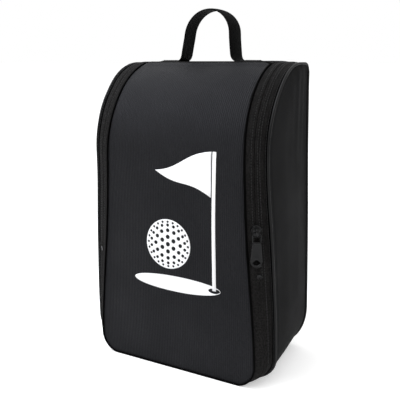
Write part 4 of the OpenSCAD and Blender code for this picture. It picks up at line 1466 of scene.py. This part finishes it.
def build_pull():
    """Wire link and tab. The link is a rounded loop round the bridge and the tab's barrel. The tab is a plate
    between its outline and its eye, carried round both as one closed ring of sections, with a step across
    it and a raised rim."""
    t = trim()
    metal = material_named("black_enamel")
    axis = JOINTS["pull_swing"]["axis"]
    axes = upright_axes(math.atan2(-axis[1], -axis[0]))
    origin = np.array(PIVOT) + slider_shift() * axes[0]
    link_r = 0.0024
    loop = hull_outline([(-0.0018, -0.0012, link_r), (0.0018, -0.0012, link_r),
                         (-0.0022, -t.link + 0.0016, 0.0018), (0.0022, -t.link + 0.0016, 0.0018)], 80)
    path = on_axes(origin, axes, loop[:, 0], 0.0, loop[:, 1])
    wire_r = 0.00068
    link = tube("pull_link", path, wire_r, 12, closed=True, hint=axes[1], drape=False)
    place_piece(link, metal, "pull", replaces=["pull_ring"])
    bottom = -t.link - t.tab_len
    count = 140
    r_end = t.tab_w / 2 - 0.0005
    shape = [(-0.0034, -t.link - 0.0006, 0.0012), (0.0034, -t.link - 0.0006, 0.0012),
             (-0.0040, -t.link - t.tab_len * 0.55, 0.0012), (0.0040, -t.link - t.tab_len * 0.55, 0.0012),
             (-0.0005, bottom + r_end, r_end), (0.0005, bottom + r_end, r_end)]
    outer = hull_outline(shape, count)
    eye_z = bottom + 0.0058
    heading = np.arctan2(outer[:, 1] - eye_z, outer[:, 0])
    eye = np.stack([0.0036 * np.cos(heading), eye_z + 0.0024 * np.sin(heading)], -1)
    thick = 0.0010
    section = [(0.0, 0.35), (0.02, 0.8), (0.07, 1.0), (0.16, 1.0), (0.22, 0.72), (0.50, 0.60), (0.74, 0.62),
               (0.84, 0.95), (0.93, 1.0), (0.98, 0.8), (1.0, 0.35), (1.0, -0.35), (0.97, -0.8), (0.75, -0.8),
               (0.4, -0.8), (0.05, -1.0), (0.012, -0.85), (0.0, -0.35)]
    rings = []
    for k, h in section:
        at = mix(outer, eye, k)
        step = 0.28 * ease((eye_z + 0.0062 - at[:, 1]) / 0.0006) if 0.1 < k < 0.8 and h > 0 else 0.0
        rings.append(on_axes(origin, axes, at[:, 0], (h - step) * thick, at[:, 1]))
    verts = np.array(rings).reshape(-1, 3)
    faces = quads(len(section), count, close_rows=True, close_cols=True)
    tab = outward_faces(make_object("pull_tab_plate", verts, faces, smooth_angle=45, drape=False))
    place_piece(tab, metal, "pull", replaces=["pull_tab"])
    barrel = on_axes(origin, axes, np.linspace(-0.0032, 0.0032, 14), 0.0, -t.link)
    size = 0.0015 * (1 - 0.25 * np.abs(np.linspace(-1, 1, 14)) ** 6)
    roll = tube("pull_tab_barrel", barrel, size, 20, hint=axes[1], drape=False)
    place_piece(roll, metal, "pull")


def build_stops():
    """Round stops at the lower end of each zip."""
    s, t = bag(), trim()
    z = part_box("zip_stop_right")[0].z + 0.0025
    q = 3 + (z - s.fold) / (front_height() - s.fold)
    at = band(q, t.zip_line)
    slope = float(slant(z))
    disc = hull_outline([(0, 0, 0.0027)], 48)
    levels = [(1.0, -0.0004), (1.0, 0.0008), (0.93, 0.0013), (0.75, 0.0015), (0.55, 0.0012), (0.2, 0.0010)]
    for name, sign in (("left", -1), ("right", 1)):
        stop = plate_solid(f"zip_end_stop_{name}", at * np.array([sign, 1, 1]), upright_axes(slope, sign),
                           disc, levels, True)
        place_piece(stop, material_named("black_enamel"), blend=fold_blend(),
                    replaces=[f"zip_stop_{name}"])


# ---- stitches on the band ----

def band_stitch_path(w, first, last, sign, lift=0.0004):
    q = even_rows(first, last, w, 0.003)
    path = band(q, w)
    across = band(q, min(w + 0.05, 1.0)) - band(q, w - 0.05)
    normal = away(unit(np.cross(np.gradient(path, axis=0), across)), path)
    side = np.array([sign, 1.0, 1.0])
    return (path + lift * normal) * side, normal * side


def build_band_stitches():
    """Rows of thread beside the zip's coils, along the tape's outer edge and beside the side seam."""
    t = trim()
    beside = band_edge(0.0030)
    angle_end = flap_end_row()
    body = [band_stitch_path(w, first, 5.95, sign) for sign in (-1, 1)
            for w, first in ((t.zip_line + beside, 3.05), (t.tape_edge - band_edge(0.0012), 1.3),
                             (1 - band_edge(0.0028), 1.2))]
    rows = stitches("band_stitches", body)
    place_piece(rows, material_named("sewing_thread"), "shell")
    flap = [band_stitch_path(t.zip_line - beside, 3.28, angle_end, sign) for sign in (-1, 1)]
    rows = stitches("flap_tape_stitches", flap)
    place_piece(rows, material_named("sewing_thread"), "flap")


# ---- stage ----

def area_light(name, place, target, size, power, tint=(1.0, 1.0, 1.0)):
    light = bpy.data.lights.new(name, "AREA")
    light.shape = "RECTANGLE"
    light.size, light.size_y = size
    light.energy = power
    light.color = tint
    lamp = bpy.data.objects.new(name, light)
    lamp.location = place
    direction = Vector(target) - lamp.location
    lamp.rotation_euler = direction.to_track_quat("-Z", "Y").to_euler()
    bpy.context.scene.collection.objects.link(lamp)


def build_stage():
    settings = bpy.context.scene.shoe_bag_stage
    side = 60.0
    plane = points(np.array([-side, side, side, -side]), np.array([-side, -side, side, side]), -0.0003)
    floor = make_object("floor", plane, np.array([[0, 1, 2, 3]]), drape=False)
    material, g, inputs = start_material("pale_floor", Roughness=0.9, Specular_IOR_Level=0.1)
    place = g.place()
    g.put(inputs["Base Color"], g.blend(g.noise(place, 3.0), (0.92, 0.92, 0.92, 1), (0.95, 0.95, 0.95, 1)))
    g.put(inputs["Emission Color"], (1.0, 1.0, 1.0, 1.0))
    seen = g.add("ShaderNodeLightPath").outputs["Is Camera Ray"]
    g.put(inputs["Emission Strength"], g.math("MULTIPLY", seen, settings.glow))
    floor.data.materials.append(material)
    world = bpy.data.worlds.new("studio")
    world.use_nodes = True
    bpy.context.scene.world = world
    g = Graph(world.node_tree)
    shown = g.add("ShaderNodeLightPath").outputs["Is Camera Ray"]
    direction = g.split(g.add("ShaderNodeTexCoord").outputs["Generated"])
    glow = g.remap(direction["Z"], 0.0, 0.9, settings.horizon, settings.sky)
    back = world.node_tree.nodes["Background"]
    g.put(back.inputs["Color"], (1.0, 1.0, 1.0, 1.0))
    g.put(back.inputs["Strength"], g.remap(shown, 0, 1, glow, 1.0))
    middle = (0, 0, 0.17)
    area_light("key", (-0.55, -1.25, 1.15), middle, (0.9, 0.9), settings.key)
    area_light("fill", (1.5, -0.5, 0.55), middle, (0.7, 1.1), settings.fill)
    area_light("top", (-0.72, -0.47, 1.6), (0, 0.0, 0.3), (0.9, 0.9), settings.top, (0.88, 0.91, 1.0))
    camera = bpy.data.objects.new("camera", bpy.data.cameras.new("camera"))
    camera.data.lens = settings.lens
    camera.data.sensor_width = 36.0
    camera.data.clip_start = 0.01
    camera.location = settings.camera
    camera.rotation_euler = (math.pi / 2 - settings.elevation, 0, settings.azimuth)
    bpy.context.scene.collection.objects.link(camera)
    bpy.context.scene.camera = camera
    bpy.context.scene.view_settings.view_transform = "Standard"


# ---- operators, panel and registration ----

class BuildStep:
    """What all build buttons share: each runs its own builders."""
    builders = ()

    def execute(self, context):
        for build in self.builders:
            build()
        return {"FINISHED"}


class BuildFrontPanel(BuildStep, bpy.types.Operator):
    """Builds the front panel, which runs up over the fold that the flap turns about"""
    bl_idname = "shoe_bag.front_panel"
    bl_label = "Front Panel"
    builders = (build_front_panel,)


class BuildPrint(BuildStep, bpy.types.Operator):
    """Builds the printed motif on the front panel"""
    bl_idname = "shoe_bag.print"
    bl_label = "Print"
    builders = (build_print,)


class BuildBand(BuildStep, bpy.types.Operator):
    """Builds the band under the bag and the zip tapes"""
    bl_idname = "shoe_bag.band"
    bl_label = "Zip Band"
    builders = (build_band, build_roof_tapes)


class BuildCoils(BuildStep, bpy.types.Operator):
    """Builds the coils behind the two zip tapes"""
    bl_idname = "shoe_bag.coils"
    bl_label = "Zip Coils"
    builders = (build_coils,)


class BuildStops(BuildStep, bpy.types.Operator):
    """Builds the round stops at the zip ends"""
    bl_idname = "shoe_bag.stops"
    bl_label = "Zip Stops"
    builders = (build_stops,)


class BuildPiping(BuildStep, bpy.types.Operator):
    """Builds the piping in the front, side and back seams"""
    bl_idname = "shoe_bag.piping"
    bl_label = "Piping"
    builders = (build_front_piping, build_side_piping)


class BuildSides(BuildStep, bpy.types.Operator):
    """Builds the two side panels with their rolls and creases"""
    bl_idname = "shoe_bag.sides"
    bl_label = "Side Panels"
    builders = (build_sides,)


class BuildBack(BuildStep, bpy.types.Operator):
    """Builds the back panel, round into the roof"""
    bl_idname = "shoe_bag.back"
    bl_label = "Back Panel"
    builders = (build_back,)


class BuildBottom(BuildStep, bpy.types.Operator):
    """Builds the bottom panel and the board that stiffens it"""
    bl_idname = "shoe_bag.bottom"
    bl_label = "Bottom"
    builders = (build_bottom,)


class BuildRoof(BuildStep, bpy.types.Operator):
    """Builds the roof panel behind the zip"""
    bl_idname = "shoe_bag.roof"
    bl_label = "Roof Panel"
    builders = (build_roof_panel,)


class BuildHandle(BuildStep, bpy.types.Operator):
    """Builds the webbing handle and its box stitches"""
    bl_idname = "shoe_bag.handle"
    bl_label = "Handle"
    builders = (build_handle,)


class BuildSlider(BuildStep, bpy.types.Operator):
    """Builds the body of the zip slider"""
    bl_idname = "shoe_bag.slider"
    bl_label = "Slider"
    builders = (build_slider,)


class BuildPull(BuildStep, bpy.types.Operator):
    """Builds the wire link and the pull tab"""
    bl_idname = "shoe_bag.pull"
    bl_label = "Pull"
    builders = (build_pull,)


class BuildStitching(BuildStep, bpy.types.Operator):
    """Builds the rows of thread on the band"""
    bl_idname = "shoe_bag.stitching"
    bl_label = "Stitching"
    builders = (build_band_stitches,)


class BuildStage(BuildStep, bpy.types.Operator):
    """Builds the floor, the lights and the camera"""
    bl_idname = "shoe_bag.stage"
    bl_label = "Stage"
    builders = (build_stage,)


class ShoeBagPanel(bpy.types.Panel):
    """Sizes, finishes and build buttons in the 3D view's sidebar"""
    bl_label = "Golf Shoe Bag"
    bl_idname = "SHOE_BAG_PT_main"
    bl_space_type = "VIEW_3D"
    bl_region_type = "UI"
    bl_category = "Shoe Bag"

    def draw(self, context):
        for name, group in SETTINGS.items():
            box = self.layout.box()
            box.label(text=group.__doc__)
            for field in group.__annotations__:
                box.prop(getattr(context.scene, name), field)
        for step in STEPS:
            self.layout.operator(step.bl_idname)


STEPS = (BuildFrontPanel, BuildPrint, BuildBand, BuildCoils, BuildStops, BuildPiping, BuildSides, BuildBack,
         BuildBottom, BuildRoof, BuildHandle, BuildSlider, BuildPull, BuildStitching, BuildStage)
SETTINGS = {"shoe_bag_shape": BagShape, "shoe_bag_soft": SoftShape, "shoe_bag_trim": TrimShape,
            "shoe_bag_print": PrintShape, "shoe_bag_finish": Finish, "shoe_bag_stage": StageSettings}
CLASSES = tuple(SETTINGS.values()) + STEPS + (ShoeBagPanel,)


def register():
    for cls in CLASSES:
        bpy.utils.register_class(cls)
    for name, group in SETTINGS.items():
        setattr(bpy.types.Scene, name, PointerProperty(type=group))


def unregister():
    for name in SETTINGS:
        delattr(bpy.types.Scene, name)
    for cls in reversed(CLASSES):
        bpy.utils.unregister_class(cls)


def main():
    register()
    for step in STEPS:
        section, name = step.bl_idname.split(".")
        getattr(getattr(bpy.ops, section), name)()


if __name__ == "__main__":
    main()
